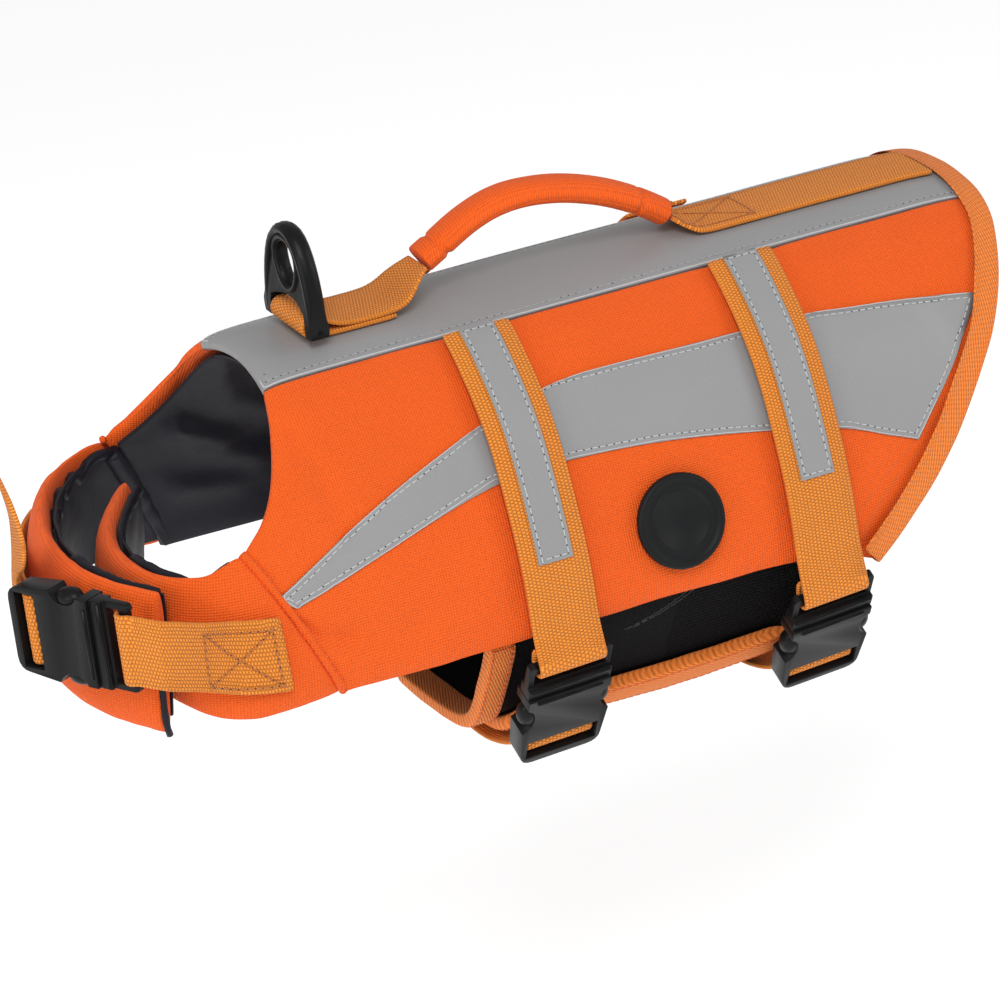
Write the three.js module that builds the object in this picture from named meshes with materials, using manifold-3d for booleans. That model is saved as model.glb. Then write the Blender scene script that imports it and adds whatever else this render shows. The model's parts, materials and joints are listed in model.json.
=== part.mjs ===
// Dog life jacket, filled out as if worn, in millimetres.
// +X runs to the tail, -Y is the side with the badge, +Z is up.
// The origin is on the underside of the back, midway between neck and tail.

import * as THREE from 'three';
import Module from 'manifold-3d';
import { mergeVertices } from 'three/addons/utils/BufferGeometryUtils.js';

const wasm = await Module();
wasm.setup();

const { lerp, clamp, smoothstep } = THREE.MathUtils;

// Driving dimensions
const GAP = 0.3;
const PANEL = 7.4;
const LINING = 1.3;
const BOUND_EDGE = 3.0;
const FOIL = 0.8;
const FOIL_LIFT = 0.5;
const WEBBING_WIDTH = 25;
const WEBBING = 1.5;
const TAPE_WIDTH = 13;
const BINDING = 1.0;
const BINDING_REACH = 9;
const SEAM_ARC = 27.3;
const FRONT_STRAP_X = -48.4;
const REAR_STRAP_X = 54;
const BELLY_CLOTH = 2.4;
const BELLY_STEP = 2.3;
const NEAR_FLAP_DEPTH = 9.5;
const FAR_FLAP_DEPTH = 10;
const FLAP_LINING = 1;
const STRAP_LIFT = 2.4;
const RING_X = -100.4;
const RING_Z = 13.5;
const RING_THICKNESS = 6.5;
const RING_BAR = 1.7;
const BUCKLE_LENGTH = 50;
const BUCKLE_WIDTH = 33;
const BUCKLE_DEPTH = 9;
const BADGE_RADIUS = 16.5;
const BADGE_X = 0.8;
const BADGE_ARC = -111.5;

const NEAR = -1;
const FAR = 1;

const CLOTH = { orange: 0xf26a24, grey: 0xa3a3a3, lining: 0x202026, belly: 0x17171a };
const TAPE = { webbing: 0xf09a45, binding: 0xe07a3c };
const PLASTIC = 0x232427;

// Half of the section of the outer face, from the spine down to the bottom edge
const BACK_CROWN = 9;
const DROOP = { from: 128, rate: 0.003 };
const BACK_SECTION = [
  { out: 14, up: 8.2 },
  { out: 27, up: 4.3 },
  { out: 36.6, up: -2.6 },
  { out: 43.6, up: -10.4 },
  { out: 54.8, up: -24 },
  { out: 62, up: -38.2 },
  { out: 68.6, up: -54.7 },
  { out: 73.5, up: -70.5 },
  { out: 76.2, up: -88.2 },
  { out: 76.4, up: -97 },
];

// Half of the section of the inner belly flap, from its middle up to the side panel
const BELLY_CROWN = -136.5;
const BELLY_SAG = { middle: 9, half: 50, drop: 4 };
const BELLY_SECTION = [
  { out: 20, up: -136 },
  { out: 35, up: -134.4 },
  { out: 45.3, up: -130.4 },
  { out: 51.3, up: -123.5 },
  { out: 56.8, up: -113.5 },
  { out: 62.3, up: -103.5 },
  { out: 65.9, up: -95.5 },
  { out: 67, up: -90 },
  { out: 66.8, up: -84.5 },
];

// Front edge of back and sides: the neck down to the chest seam, then the seam itself
const FRONT_EDGE = [
  { arc: 0, x: -124 },
  { arc: 27, x: -126 },
  { arc: 45, x: -130 },
  { arc: 57, x: -134 },
  { arc: 68, x: -139 },
  { arc: 76, x: -145 },
  { arc: 82, x: -153 },
  { arc: 108, x: -141.5 },
  { arc: 139, x: -128.5 },
];

const REAR_HEM = [
  { arc: 0, x: 153.2 },
  { arc: 20, x: 153.2 },
  { arc: 36, x: 152.4 },
  { arc: 47, x: 149.2 },
  { arc: 56, x: 145.4 },
  { arc: 66, x: 140.2 },
  { arc: 76, x: 134.6 },
  { arc: 85, x: 127.5 },
  { arc: 94, x: 120.5 },
  { arc: 103, x: 113 },
  { arc: 112, x: 105.5 },
  { arc: 120, x: 97.5 },
  { arc: 128, x: 88 },
  { arc: 132, x: 82 },
  { arc: 136, x: 78 },
  { arc: 139, x: 74.5 },
];

const BOTTOM_EDGE = [
  { x: -129, arc: 136.6 },
  { x: -78, arc: 138 },
  { x: -35, arc: 137.8 },
  { x: 40, arc: 139 },
  { x: 66, arc: 143.5 },
  { x: 75, arc: 147.5 },
];
const BOTTOM_ARC = 139;
const SEAM_TOP_ARC = 82;
const SEAM_GAP = 0.36;

const SWOOSH = [
  { x: -146, top: 98.5, bottom: 99.5, slant: 0 },
  { x: -140.6, top: 96, bottom: 103.5, slant: 0 },
  { x: -101, top: 76, bottom: 92.5, slant: 0 },
  { x: -62, top: 62, bottom: 81, slant: 0 },
  { x: -31, top: 53.5, bottom: 81, slant: 0 },
  { x: 0, top: 54, bottom: 83.5, slant: 0 },
  { x: 25, top: 55, bottom: 87.5, slant: 0 },
  { x: 56, top: 55, bottom: 93.5, slant: 0 },
  { x: 72, top: 55.4, bottom: 97.5, slant: 0 },
  { x: 95, top: 58.5, bottom: 103, slant: 11 },
  { x: 112.5, top: 61.5, bottom: 106, slant: 22 },
  { x: 129, top: 64.5, bottom: 108.5, slant: 33.5 },
];

// Plan of the chest flaps' outer face, out from the straight side
const NEAR_FLAP_PLAN = [
  { x: -120, y: -71.6 },
  { x: -157, y: -71.6 },
  { x: -169, y: -70.2 },
  { x: -177, y: -64.6 },
  { x: -183.4, y: -55.8 },
  { x: -187.4, y: -44.4 },
  { x: -189.2, y: -30 },
  { x: -188.6, y: -15 },
  { x: -185.5, y: -2 },
  { x: -179, y: 10 },
  { x: -171, y: 22 },
  { x: -163, y: 33 },
];
const FAR_FLAP_PLAN = [
  { x: -120, y: 71.6 },
  { x: -157, y: 71.2 },
  { x: -168, y: 66.5 },
  { x: -178, y: 58 },
  { x: -187, y: 46.5 },
  { x: -195, y: 32.5 },
  { x: -202, y: 17 },
  { x: -206.3, y: 2 },
  { x: -208, y: -13 },
  { x: -207.8, y: -28 },
  { x: -205.7, y: -40 },
  { x: -201, y: -50.8 },
  { x: -195.8, y: -60 },
  { x: -191, y: -67 },
];
const NEAR_FLAP_EDGES = [
  { along: 9, top: -36.5, bottom: -89 },
  { along: 36, top: -37.2, bottom: -91 },
  { along: 55, top: -41, bottom: -89.4 },
  { along: 75, top: -41.5, bottom: -82 },
  { along: 100, top: -41.5, bottom: -79 },
  { along: 180, top: -41.5, bottom: -84 },
];
const FAR_FLAP_EDGES = [
  { along: 9, top: -36.5, bottom: -89 },
  { along: 37, top: -37.2, bottom: -89.6 },
  { along: 60, top: -39, bottom: -86.5 },
  { along: 110, top: -38, bottom: -86.5 },
  { along: 150, top: -38, bottom: -86.5 },
  { along: 200, top: -39.5, bottom: -90 },
];
const NEAR_FLAP_START = { top: 33.8, bottom: 9.6 };
const FAR_FLAP_START = { top: 41.6, bottom: 9.6 };

// Reads a value from a table by straight steps between its rows.
function read(rows, key, at, value) {
  const last = rows.length - 1;
  let next = rows.findIndex((row) => row[key] >= at);
  if (next < 0) next = last;
  if (next === 0) next = 1;
  const from = rows[next - 1];
  const to = rows[next];
  const share = clamp((at - from[key]) / (to[key] - from[key]), 0, 1);
  return lerp(from[value], to[value], share);
}

// A section that runs from the near side over the middle to the far side.
// The function it returns places a point by length x, arc from the middle and lift off the face.
function profile(crown, rows, outward) {
  const far = rows.map((row) => new THREE.Vector2(row.out, row.up));
  const near = rows.map((row) => new THREE.Vector2(-row.out, row.up)).reverse();
  const curve = new THREE.SplineCurve([...near, new THREE.Vector2(0, crown), ...far]);
  curve.arcLengthDivisions = 600;
  const length = curve.getLength();
  const place = (x, arc, lift) => {
    const share = 0.5 + arc / length;
    const inside = clamp(share, 0, 1);
    const past = (share - inside) * length;
    const p = curve.getPointAt(inside);
    const t = curve.getTangentAt(inside);
    const side = outward * lift;
    return new THREE.Vector3(x, p.x + t.x * past - t.y * side, p.y + t.y * past + t.x * side);
  };
  return { place, half: length / 2 };
}

const back = profile(BACK_CROWN, BACK_SECTION, 1);
const belly = profile(BELLY_CROWN, BELLY_SECTION, -1);

// The back droops a little towards the tail.
function onBack(x, arc, lift) {
  const p = back.place(x, arc, lift);
  const past = Math.max(0, x - DROOP.from);
  const share = 1 - smoothstep(Math.abs(arc), 20, 75);
  p.z -= DROOP.rate * past * past * share;
  return p;
}

// The belly hangs a little lower between the two belts.
function sagged(p, x, arc) {
  const off = (x - BELLY_SAG.middle) / BELLY_SAG.half;
  const share = Math.max(0, 1 - off * off) * (1 - smoothstep(Math.abs(arc), 30, 72));
  p.z -= BELLY_SAG.drop * share;
  return p;
}

function onNearBelly(x, arc, lift) {
  return sagged(belly.place(x, arc, lift), x, arc);
}

// The far flap steps down below the near one where the two lap.
function onFarBelly(x, arc, lift) {
  const step = (BELLY_STEP + BELLY_CLOTH) * (1 - smoothstep(arc, 28, 70));
  return sagged(belly.place(x, arc, lift + step), x, arc);
}

// Half width of the back at a height, used to lean the chest flaps like the sides
function widthAt(up) {
  const rows = [{ out: 0, up: BACK_CROWN }, ...BACK_SECTION].map((row) => ({ ...row, down: -row.up }));
  return read(rows, 'down', -up, 'out');
}

// Outer face of a chest flap, by length along its plan, height and lift.
function flapFace(plan, start, edges, depth) {
  const curve = new THREE.CatmullRomCurve3(plan.map((p) => new THREE.Vector3(p.x, p.y, 0)));
  curve.curveType = 'centripetal';
  curve.arcLengthDivisions = 400;
  const length = curve.getLength();
  const side = Math.sign(plan[0].y);
  const place = (along, up, lift) => {
    const at = clamp(along / length, 0, 1);
    const p = curve.getPointAt(at);
    const t = curve.getTangentAt(at);
    const lean = (widthAt(up) - widthAt(-64)) * (1 - 0.75 * smoothstep(along, 35, 85));
    const out = lift + lean;
    return new THREE.Vector3(p.x + side * t.y * out, p.y - side * t.x * out, up);
  };
  return { place, side, length, start, edges, depth };
}

const nearFlap = flapFace(NEAR_FLAP_PLAN, NEAR_FLAP_START, NEAR_FLAP_EDGES, NEAR_FLAP_DEPTH);
const farFlap = flapFace(FAR_FLAP_PLAN, FAR_FLAP_START, FAR_FLAP_EDGES, FAR_FLAP_DEPTH);

function steps(count) {
  return Array.from({ length: count + 1 }, (_, i) => i / count);
}

function signedVolume(points, index) {
  let sum = 0;
  for (let i = 0; i < index.length; i += 3) {
    const [a, b, c] = [points[index[i]], points[index[i + 1]], points[index[i + 2]]];
    sum += a.dot(b.clone().cross(c));
  }
  return sum;
}

// A closed geometry from points and triangles, with its faces turned outwards.
function closed(points, index) {
  const turned = signedVolume(points, index) > 0 ? index : index.slice().reverse();
  const geometry = new THREE.BufferGeometry();
  geometry.setFromPoints(points);
  geometry.setIndex(turned);
  return geometry;
}

// A sheet with two faces over a grid of shares, closed along its four edges.
function wall(us, vs, point) {
  const rows = us.length;
  const cols = vs.length;
  const points = [];
  for (const face of [1, 0]) {
    for (const u of us) {
      for (const v of vs) points.push(point(u, v, face));
    }
  }
  const at = (face, i, j) => (face ? 0 : rows * cols) + i * cols + j;
  const index = [];
  const quad = (a, b, c, d) => index.push(a, b, c, a, c, d);
  for (let i = 0; i < rows - 1; i++) {
    for (let j = 0; j < cols - 1; j++) {
      quad(at(1, i, j), at(1, i + 1, j), at(1, i + 1, j + 1), at(1, i, j + 1));
      quad(at(0, i, j), at(0, i, j + 1), at(0, i + 1, j + 1), at(0, i + 1, j));
    }
  }
  for (let i = 0; i < rows - 1; i++) {
    quad(at(1, i + 1, 0), at(1, i, 0), at(0, i, 0), at(0, i + 1, 0));
    quad(at(1, i, cols - 1), at(1, i + 1, cols - 1), at(0, i + 1, cols - 1), at(0, i, cols - 1));
  }
  for (let j = 0; j < cols - 1; j++) {
    quad(at(1, 0, j), at(1, 0, j + 1), at(0, 0, j + 1), at(0, 0, j));
    quad(at(1, rows - 1, j + 1), at(1, rows - 1, j), at(0, rows - 1, j), at(0, rows - 1, j + 1));
  }
  return closed(points, index);
}

// A solid through sections that all have the same outline order, with flat ends.
function loft(sections, outline) {
  const count = outline.length;
  const points = sections.flat();
  const index = [];
  for (let i = 0; i < sections.length - 1; i++) {
    for (let j = 0; j < count; j++) {
      const a = i * count + j;
      const b = i * count + ((j + 1) % count);
      index.push(a, b, b + count, a, b + count, a + count);
    }
  }
  const end = (sections.length - 1) * count;
  const clockwise = THREE.ShapeUtils.isClockWise(outline);
  for (const [a, b, c] of THREE.ShapeUtils.triangulateShape(outline, [])) {
    if (clockwise) index.push(a, b, c, end + a, end + c, end + b);
    else index.push(a, c, b, end + a, end + b, end + c);
  }
  return closed(points, index);
}

// Flat webbing through stations. Each has its centre, and its own width, across or crown if they change.
function ribbon(stations, { across, width = WEBBING_WIDTH, thickness = WEBBING, crowned = false }) {
  const columns = crowned ? [-1, 0, 1] : [-1, 1];
  const outline = [
    ...columns.map((x) => new THREE.Vector2(x, -1)),
    ...columns.slice().reverse().map((x) => new THREE.Vector2(x, 1)),
  ];
  const sections = stations.map((station, i) => {
    const before = stations[Math.max(0, i - 1)].at;
    const after = stations[Math.min(stations.length - 1, i + 1)].at;
    const side = station.across ?? across;
    const tangent = after.clone().sub(before).normalize();
    const normal = side.clone().cross(tangent).normalize();
    const half = (station.width ?? width) / 2;
    return outline.map((corner) => {
      const rise = (corner.y * thickness) / 2 - Math.abs(corner.x) * (station.crown ?? 0);
      return station.at.clone().addScaledVector(side, corner.x * half).addScaledVector(normal, rise);
    });
  });
  return loft(sections, outline);
}

// A tape folded over an edge. The edge is a line on a face, and the tape has a leg on each side of it.
function foldedTape(face, edge, { outer, inner, curved = false }) {
  const low = inner - GAP - BINDING;
  const high = outer + GAP + BINDING;
  const middle = curved ? [-BINDING_REACH / 2] : [];
  const outline = [
    new THREE.Vector2(-BINDING_REACH, outer + GAP),
    new THREE.Vector2(-BINDING_REACH, high),
    ...middle.map((x) => new THREE.Vector2(x, high)),
    new THREE.Vector2(BINDING, high),
    new THREE.Vector2(BINDING + GAP, (high + low) / 2),
    new THREE.Vector2(BINDING, low),
    ...middle.map((x) => new THREE.Vector2(x, low)),
    new THREE.Vector2(-BINDING_REACH, low),
    new THREE.Vector2(-BINDING_REACH, inner - GAP),
    ...middle.map((x) => new THREE.Vector2(x, inner - GAP)),
    new THREE.Vector2(GAP, inner - GAP),
    new THREE.Vector2(GAP, outer + GAP),
    ...middle.map((x) => new THREE.Vector2(x, outer + GAP)),
  ];
  const sections = edge.map((here, i) => {
    const before = edge[Math.max(0, i - 1)];
    const after = edge[Math.min(edge.length - 1, i + 1)];
    const run = new THREE.Vector2(after.x - before.x, after.arc - before.arc).normalize();
    const out = new THREE.Vector2(run.y, -run.x);
    return outline.map((corner) => face(here.x + out.x * corner.x, here.arc + out.y * corner.x, corner.y));
  });
  return loft(sections, outline);
}

function solid(geometry) {
  const bare = geometry.clone();
  bare.deleteAttribute('normal');
  bare.deleteAttribute('uv');
  const merged = mergeVertices(bare, 1e-4);
  return new wasm.Manifold(
    new wasm.Mesh({
      numProp: 3,
      vertProperties: new Float32Array(merged.attributes.position.array),
      triVerts: new Uint32Array(merged.index.array),
    }),
  );
}

function fromSolid(manifold) {
  const mesh = manifold.getMesh();
  const geometry = new THREE.BufferGeometry();
  geometry.setAttribute('position', new THREE.BufferAttribute(new Float32Array(mesh.vertProperties), 3));
  geometry.setIndex(new THREE.BufferAttribute(new Uint32Array(mesh.triVerts), 1));
  return geometry;
}

function block(from, to) {
  const size = [0, 1, 2].map((i) => to[i] - from[i]);
  const geometry = new THREE.BoxGeometry(...size);
  return geometry.translate(...[0, 1, 2].map((i) => (from[i] + to[i]) / 2));
}

function plate(shape, low, high, curveSegments = 6) {
  const geometry = new THREE.ExtrudeGeometry(shape, { depth: high - low, bevelEnabled: false, curveSegments });
  return geometry.translate(0, 0, low);
}

const group = new THREE.Group();

function add(name, geometry, color, roughness = 0.8, holder = group) {
  const material = new THREE.MeshStandardMaterial({ color, roughness, metalness: 0 });
  const mesh = new THREE.Mesh(geometry, material);
  mesh.name = name;
  holder.add(mesh);
}

// Back strip, side panels and their lining

// Wall thickness at a distance from the bound rear hem
function wallDepth(distance) {
  return lerp(BOUND_EDGE, PANEL, smoothstep(distance, BINDING_REACH + 1, BINDING_REACH + 14));
}

function hemSlant(arc) {
  const run = read(REAR_HEM, 'arc', arc + 3, 'x') - read(REAR_HEM, 'arc', arc - 3, 'x');
  return Math.hypot(1, run / 6);
}

// Shares along a panel, closer together where the wall thins out behind the hem
const PANEL_SHARES = [0, 0.012, 0.05, 0.12, 0.22, 0.33, 0.44, 0.55, 0.66, 0.76, 0.84, 0.895, 0.93, 0.957, 1];

// Arcs on the sides are spread so that the last one follows the bottom edge.
function fitted(arc, x) {
  if (arc <= SEAM_ARC + GAP) return arc;
  const reach = (read(BOTTOM_EDGE, 'x', x, 'arc') - SEAM_ARC) / (BOTTOM_ARC - SEAM_ARC);
  return SEAM_ARC + (arc - SEAM_ARC) * reach;
}

// A panel over a grid of shares from the neck to the rear hem and arcs across the back
function panel(side, shares, arcs, lifts) {
  return wall(shares, arcs, (share, arc, face) => {
    const near = Math.abs(arc);
    const hem = read(REAR_HEM, 'arc', near, 'x');
    const x = lerp(read(FRONT_EDGE, 'arc', near, 'x'), hem, share);
    const distance = (hem - x) / hemSlant(near);
    return onBack(x, side * Math.sign(arc || 1) * fitted(near, x), lifts(face, share, near, distance));
  });
}

// Outer faces roll inwards at the neck and at the free bottom edge.
function shellLift(face, share, arc, distance) {
  const rolled = arc > SEAM_TOP_ARC ? 0.35 : 1;
  const nose = rolled * (share === 0 ? 0.34 : share < 0.02 ? 0.1 : 0);
  const foot = arc >= BOTTOM_ARC ? 0.22 : 0;
  const depth = wallDepth(distance);
  if (face) return -PANEL * Math.max(nose, foot);
  return -depth + PANEL * nose;
}

function liningLift(face, share, arc, distance) {
  const depth = wallDepth(distance) + GAP;
  return face ? -depth : -depth - LINING;
}

const SIDE_ARCS = [SEAM_ARC + GAP, 36, 45, 57, 68, 76, 82, 95, 108, 123, 136, BOTTOM_ARC];
const STRIP_ARCS = [-SEAM_ARC, -20, -10, 0, 10, 20, SEAM_ARC];
const LINING_SHARES = PANEL_SHARES.slice(1, -2);
const LINING_ARCS = SIDE_ARCS.slice(0, -2);

add('back_strip', panel(FAR, PANEL_SHARES, STRIP_ARCS, shellLift), CLOTH.grey, 0.45);
add('side_near', panel(NEAR, PANEL_SHARES, SIDE_ARCS, shellLift), CLOTH.orange);
add('side_far', panel(FAR, PANEL_SHARES, SIDE_ARCS, shellLift), CLOTH.orange);
add('lining_back', panel(FAR, LINING_SHARES, STRIP_ARCS, liningLift), CLOTH.lining);
add('lining_near', panel(NEAR, LINING_SHARES, LINING_ARCS, liningLift), CLOTH.lining);
add('lining_far', panel(FAR, LINING_SHARES, LINING_ARCS, liningLift), CLOTH.lining);

function rearBinding() {
  const far = [0, 10, 20, ...SIDE_ARCS].map((arc) => {
    const x = read(REAR_HEM, 'arc', arc, 'x');
    return { x, arc: fitted(arc, x) };
  });
  const near = far.slice(1).map((p) => ({ x: p.x, arc: -p.arc }));
  const edge = [...near.reverse(), ...far];
  return foldedTape(onBack, edge, { outer: GAP, inner: -BOUND_EDGE - GAP });
}

add('rear_binding', rearBinding(), TAPE.binding);

// Reflective swooshes on the sides

function swoosh(side) {
  const xs = SWOOSH.map((row) => row.x);
  return wall(xs, steps(4), (x, share, face) => {
    const arc = lerp(read(SWOOSH, 'x', x, 'top'), read(SWOOSH, 'x', x, 'bottom'), share);
    const slanted = x - read(SWOOSH, 'x', x, 'slant') * share;
    return onBack(slanted, side * arc, face ? FOIL_LIFT + FOIL : FOIL_LIFT);
  });
}

add('swoosh_near', swoosh(NEAR), CLOTH.grey, 0.45);
add('swoosh_far', swoosh(FAR), CLOTH.grey, 0.45);

// Chest flaps, puffed pads that wrap round the front of the chest

const FLAP_SHARES = [0, 0.06, 0.15, 0.25, 0.35, 0.45, 0.55, 0.65, 0.75, 0.84, 0.91, 0.96, 0.99, 1];
const FLAP_HEIGHTS = [0, 0.07, 0.2, 0.4, 0.6, 0.8, 0.93, 1];

function flapGrid({ start, length, edges, depth }, share, height) {
  const along = lerp(lerp(start.top, start.bottom, height), length, share);
  const up = lerp(read(edges, 'along', along, 'top'), read(edges, 'along', along, 'bottom'), height);
  const full = lerp(PANEL, depth, smoothstep(share, 0, 0.3));
  const edge = Math.sqrt(1 - Math.pow(Math.abs(2 * height - 1), 4));
  const end = share === 1 ? 0.55 : 1;
  return { along, up, middle: -full / 2, half: (full / 2) * (0.3 + 0.7 * edge) * end };
}

// The seam between a side panel and its flap, from the neck down, one gap ahead of the panel
function onSeam(side, height, lift) {
  const arc = lerp(SEAM_TOP_ARC, BOTTOM_ARC, height);
  const x = read(FRONT_EDGE, 'arc', arc, 'x') - SEAM_GAP;
  return onBack(x, side * fitted(arc, x), lift);
}

function flapPoint(shape, share, height, lift) {
  if (share === 0) return onSeam(shape.side, height, lift);
  const { along, up } = flapGrid(shape, share, height);
  return shape.place(along, up, lift);
}

function flap(shape) {
  return wall(FLAP_SHARES, FLAP_HEIGHTS, (share, height, face) => {
    const { middle, half } = flapGrid(shape, share, height);
    return flapPoint(shape, share, height, face ? middle + half : middle - half);
  });
}

function flapLining(shape) {
  return wall(FLAP_SHARES.slice(0, -1), FLAP_HEIGHTS.slice(1, -1), (share, height, face) => {
    const { middle, half } = flapGrid(shape, share, height);
    const lift = middle - half - GAP;
    return flapPoint(shape, share, height, face ? lift : lift - FLAP_LINING);
  });
}

add('chest_flap_near', flap(nearFlap), CLOTH.orange);
add('chest_flap_far', flap(farFlap), CLOTH.orange);
add('chest_lining_near', flapLining(nearFlap), CLOTH.lining);
add('chest_lining_far', flapLining(farFlap), CLOTH.lining);

// Belly flaps: the near one lies inside, the far one laps over it from below

const BELLY_CORNER = 14;
const BELLY_ARCS = [-90, -84, -76, -67, -59, -53, -47, -41, -35, -25, -12, 0];
const BELLY_END_STEPS = [BELLY_CORNER, 9, 5, 2, 0.5, 0];
const BELLY_SHARES = steps(8);

// Arcs of a belly flap from its sewn root to its free edge, closer together round the free corners
function bellyArcs(side, free) {
  const bend = side * free + BELLY_CORNER;
  const straight = BELLY_ARCS.concat(BELLY_ARCS.slice(0, -1).reverse().map((arc) => -arc));
  const kept = straight.filter((arc) => arc < -bend - 3);
  const ends = BELLY_END_STEPS.map((step) => -side * free - step);
  return [-belly.half, ...kept, ...ends].map((arc) => -side * arc);
}

const NEAR_BELLY = { face: onNearBelly, front: -71, rear: 69, free: 22, arcs: bellyArcs(NEAR, 22) };
const FAR_BELLY = { face: onFarBelly, front: -58.3, rear: 56, free: -54, arcs: bellyArcs(FAR, -54) };

// How far the rounded corner cuts in from the end of a flap at an arc
function cornerCut(free, arc) {
  const inset = Math.max(0, BELLY_CORNER - Math.abs(free - arc));
  return BELLY_CORNER - Math.sqrt(BELLY_CORNER ** 2 - inset ** 2);
}

function bellyFlap({ face, front, rear, free, arcs }) {
  return wall(BELLY_SHARES, arcs, (share, arc, outer) => {
    const cut = cornerCut(free, arc);
    return face(lerp(front + cut, rear - cut, share), arc, outer ? 0 : -BELLY_CLOTH);
  });
}

// Lines along the edges of a belly flap: the rear and the front one from its root to its free edge
function bellyEnds({ front, rear, free, arcs }) {
  const bound = arcs.slice(1);
  const tail = bound.map((arc) => ({ x: rear - cornerCut(free, arc), arc }));
  const head = bound.map((arc) => ({ x: front + cornerCut(free, arc), arc }));
  const side = BELLY_SHARES.slice(1, -1).map((share) => ({
    x: lerp(front + BELLY_CORNER, rear - BELLY_CORNER, share),
    arc: free,
  }));
  return { tail, head, side };
}

function bellyTape(face, edge, curved) {
  return foldedTape(face, edge, { outer: GAP, inner: -BELLY_CLOTH - GAP, curved });
}

add('belly_near', bellyFlap(NEAR_BELLY), CLOTH.belly);
add('belly_far', bellyFlap(FAR_BELLY), CLOTH.belly);

// The near flap's free edge is covered, so only its two ends show a binding.
const nearEnds = bellyEnds(NEAR_BELLY);
const farEnds = bellyEnds(FAR_BELLY);
add('belly_binding_front', bellyTape(onNearBelly, nearEnds.head.slice(0, -3).reverse()), TAPE.binding);
add('belly_binding_rear', bellyTape(onNearBelly, nearEnds.tail.slice(0, -3)), TAPE.binding);
const farEdge = [...farEnds.head, ...farEnds.side, ...farEnds.tail.reverse()];
add('belly_binding_far', bellyTape(onFarBelly, farEdge, true), TAPE.binding);

// Side-release buckles: a plug whose end bar carries one strap, in a socket whose crossbar carries the other.
// Each is modelled along x from the plug's end bar to the socket's end, with its outer face up.

const PLUG_BAR = { from: 0.7, to: 3.7, low: 3, high: 6 };
const PLUG_SLOT_END = 9.4;
const SOCKET_START = 15.3;
const SOCKET_WINDOW = { from: 38.5, to: 47 };
const SOCKET_BAR = { from: 41.5, to: 43.9, low: 3, high: 5.8 };
const SLOT_HALF = 13.4;
const SOCKET_TAPER = 1.2;
const TONGUE = { from: 14, to: 33, half: 10.5, low: 3.3, high: 5.7 };
const CORNER = 2;

function plug() {
  const half = BUCKLE_WIDTH / 2 - 0.8;
  const frame = new THREE.Shape();
  frame.moveTo(0, -half + CORNER);
  frame.quadraticCurveTo(0, -half, CORNER, -half);
  frame.lineTo(SOCKET_START - GAP, -half);
  frame.lineTo(SOCKET_START - GAP, half);
  frame.lineTo(CORNER, half);
  frame.quadraticCurveTo(0, half, 0, half - CORNER);
  const slot = new THREE.Path();
  slot.moveTo(PLUG_BAR.to, -SLOT_HALF);
  slot.lineTo(PLUG_SLOT_END, -SLOT_HALF);
  slot.lineTo(PLUG_SLOT_END, SLOT_HALF);
  slot.lineTo(PLUG_BAR.to, SLOT_HALF);
  frame.holes.push(slot);
  const body = solid(plate(frame, PLUG_BAR.low, PLUG_BAR.high, 3));
  const shoulder = solid(block([10.2, -half, 1.6], [SOCKET_START - GAP, half, BUCKLE_DEPTH - 1.2]));
  const trim = solid(block([-1, -SLOT_HALF, 0], [PLUG_BAR.from, SLOT_HALF, BUCKLE_DEPTH]));
  const tongue = solid(block([TONGUE.from, -TONGUE.half, TONGUE.low], [TONGUE.to, TONGUE.half, TONGUE.high]));
  return fromSolid(body.add(shoulder).add(tongue).subtract(trim));
}

function socket() {
  const half = BUCKLE_WIDTH / 2;
  const end = half - SOCKET_TAPER;
  const outline = new THREE.Shape();
  outline.moveTo(SOCKET_START, -half + 0.8);
  outline.lineTo(19.5, -half + 0.8);
  outline.quadraticCurveTo(21, -12.6, 25.5, -12.6);
  outline.quadraticCurveTo(30, -12.6, 32, -half);
  outline.lineTo(BUCKLE_LENGTH - 5, -end);
  outline.quadraticCurveTo(BUCKLE_LENGTH, -end, BUCKLE_LENGTH, -end + 5);
  outline.lineTo(BUCKLE_LENGTH, end - 5);
  outline.quadraticCurveTo(BUCKLE_LENGTH, end, BUCKLE_LENGTH - 5, end);
  outline.lineTo(32, half);
  outline.quadraticCurveTo(30, 12.6, 25.5, 12.6);
  outline.quadraticCurveTo(21, 12.6, 19.5, half - 0.8);
  outline.lineTo(SOCKET_START, half - 0.8);
  const { from, to } = SOCKET_WINDOW;
  const window = solid(block([from, -SLOT_HALF, -1], [to, SLOT_HALF, BUCKLE_DEPTH + 1]));
  const cavity = solid(
    block(
      [SOCKET_START - 1, -TONGUE.half - GAP, TONGUE.low - GAP],
      [TONGUE.to + GAP, TONGUE.half + GAP, TONGUE.high + GAP],
    ),
  );
  const bar = solid(
    block([SOCKET_BAR.from, -SLOT_HALF - 1, SOCKET_BAR.low], [SOCKET_BAR.to, SLOT_HALF + 1, SOCKET_BAR.high]),
  );
  const body = solid(plate(outline, 0, BUCKLE_DEPTH, 4));
  return fromSolid(body.subtract(window).subtract(cavity).add(bar));
}

// A place for a buckle: the inner end of its plug bar, its direction and its outward side
function buckleFrame(origin, end, outward) {
  const a = new THREE.Vector3(...end).sub(new THREE.Vector3(...origin)).normalize();
  const raw = new THREE.Vector3(...outward);
  const n = raw.addScaledVector(a, -raw.dot(a)).normalize();
  const w = n.clone().cross(a);
  const matrix = new THREE.Matrix4().makeBasis(a, w, n).setPosition(...origin);
  const at = (along, up) => new THREE.Vector3(along, 0, up).applyMatrix4(matrix);
  return { matrix, at, w };
}

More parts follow.
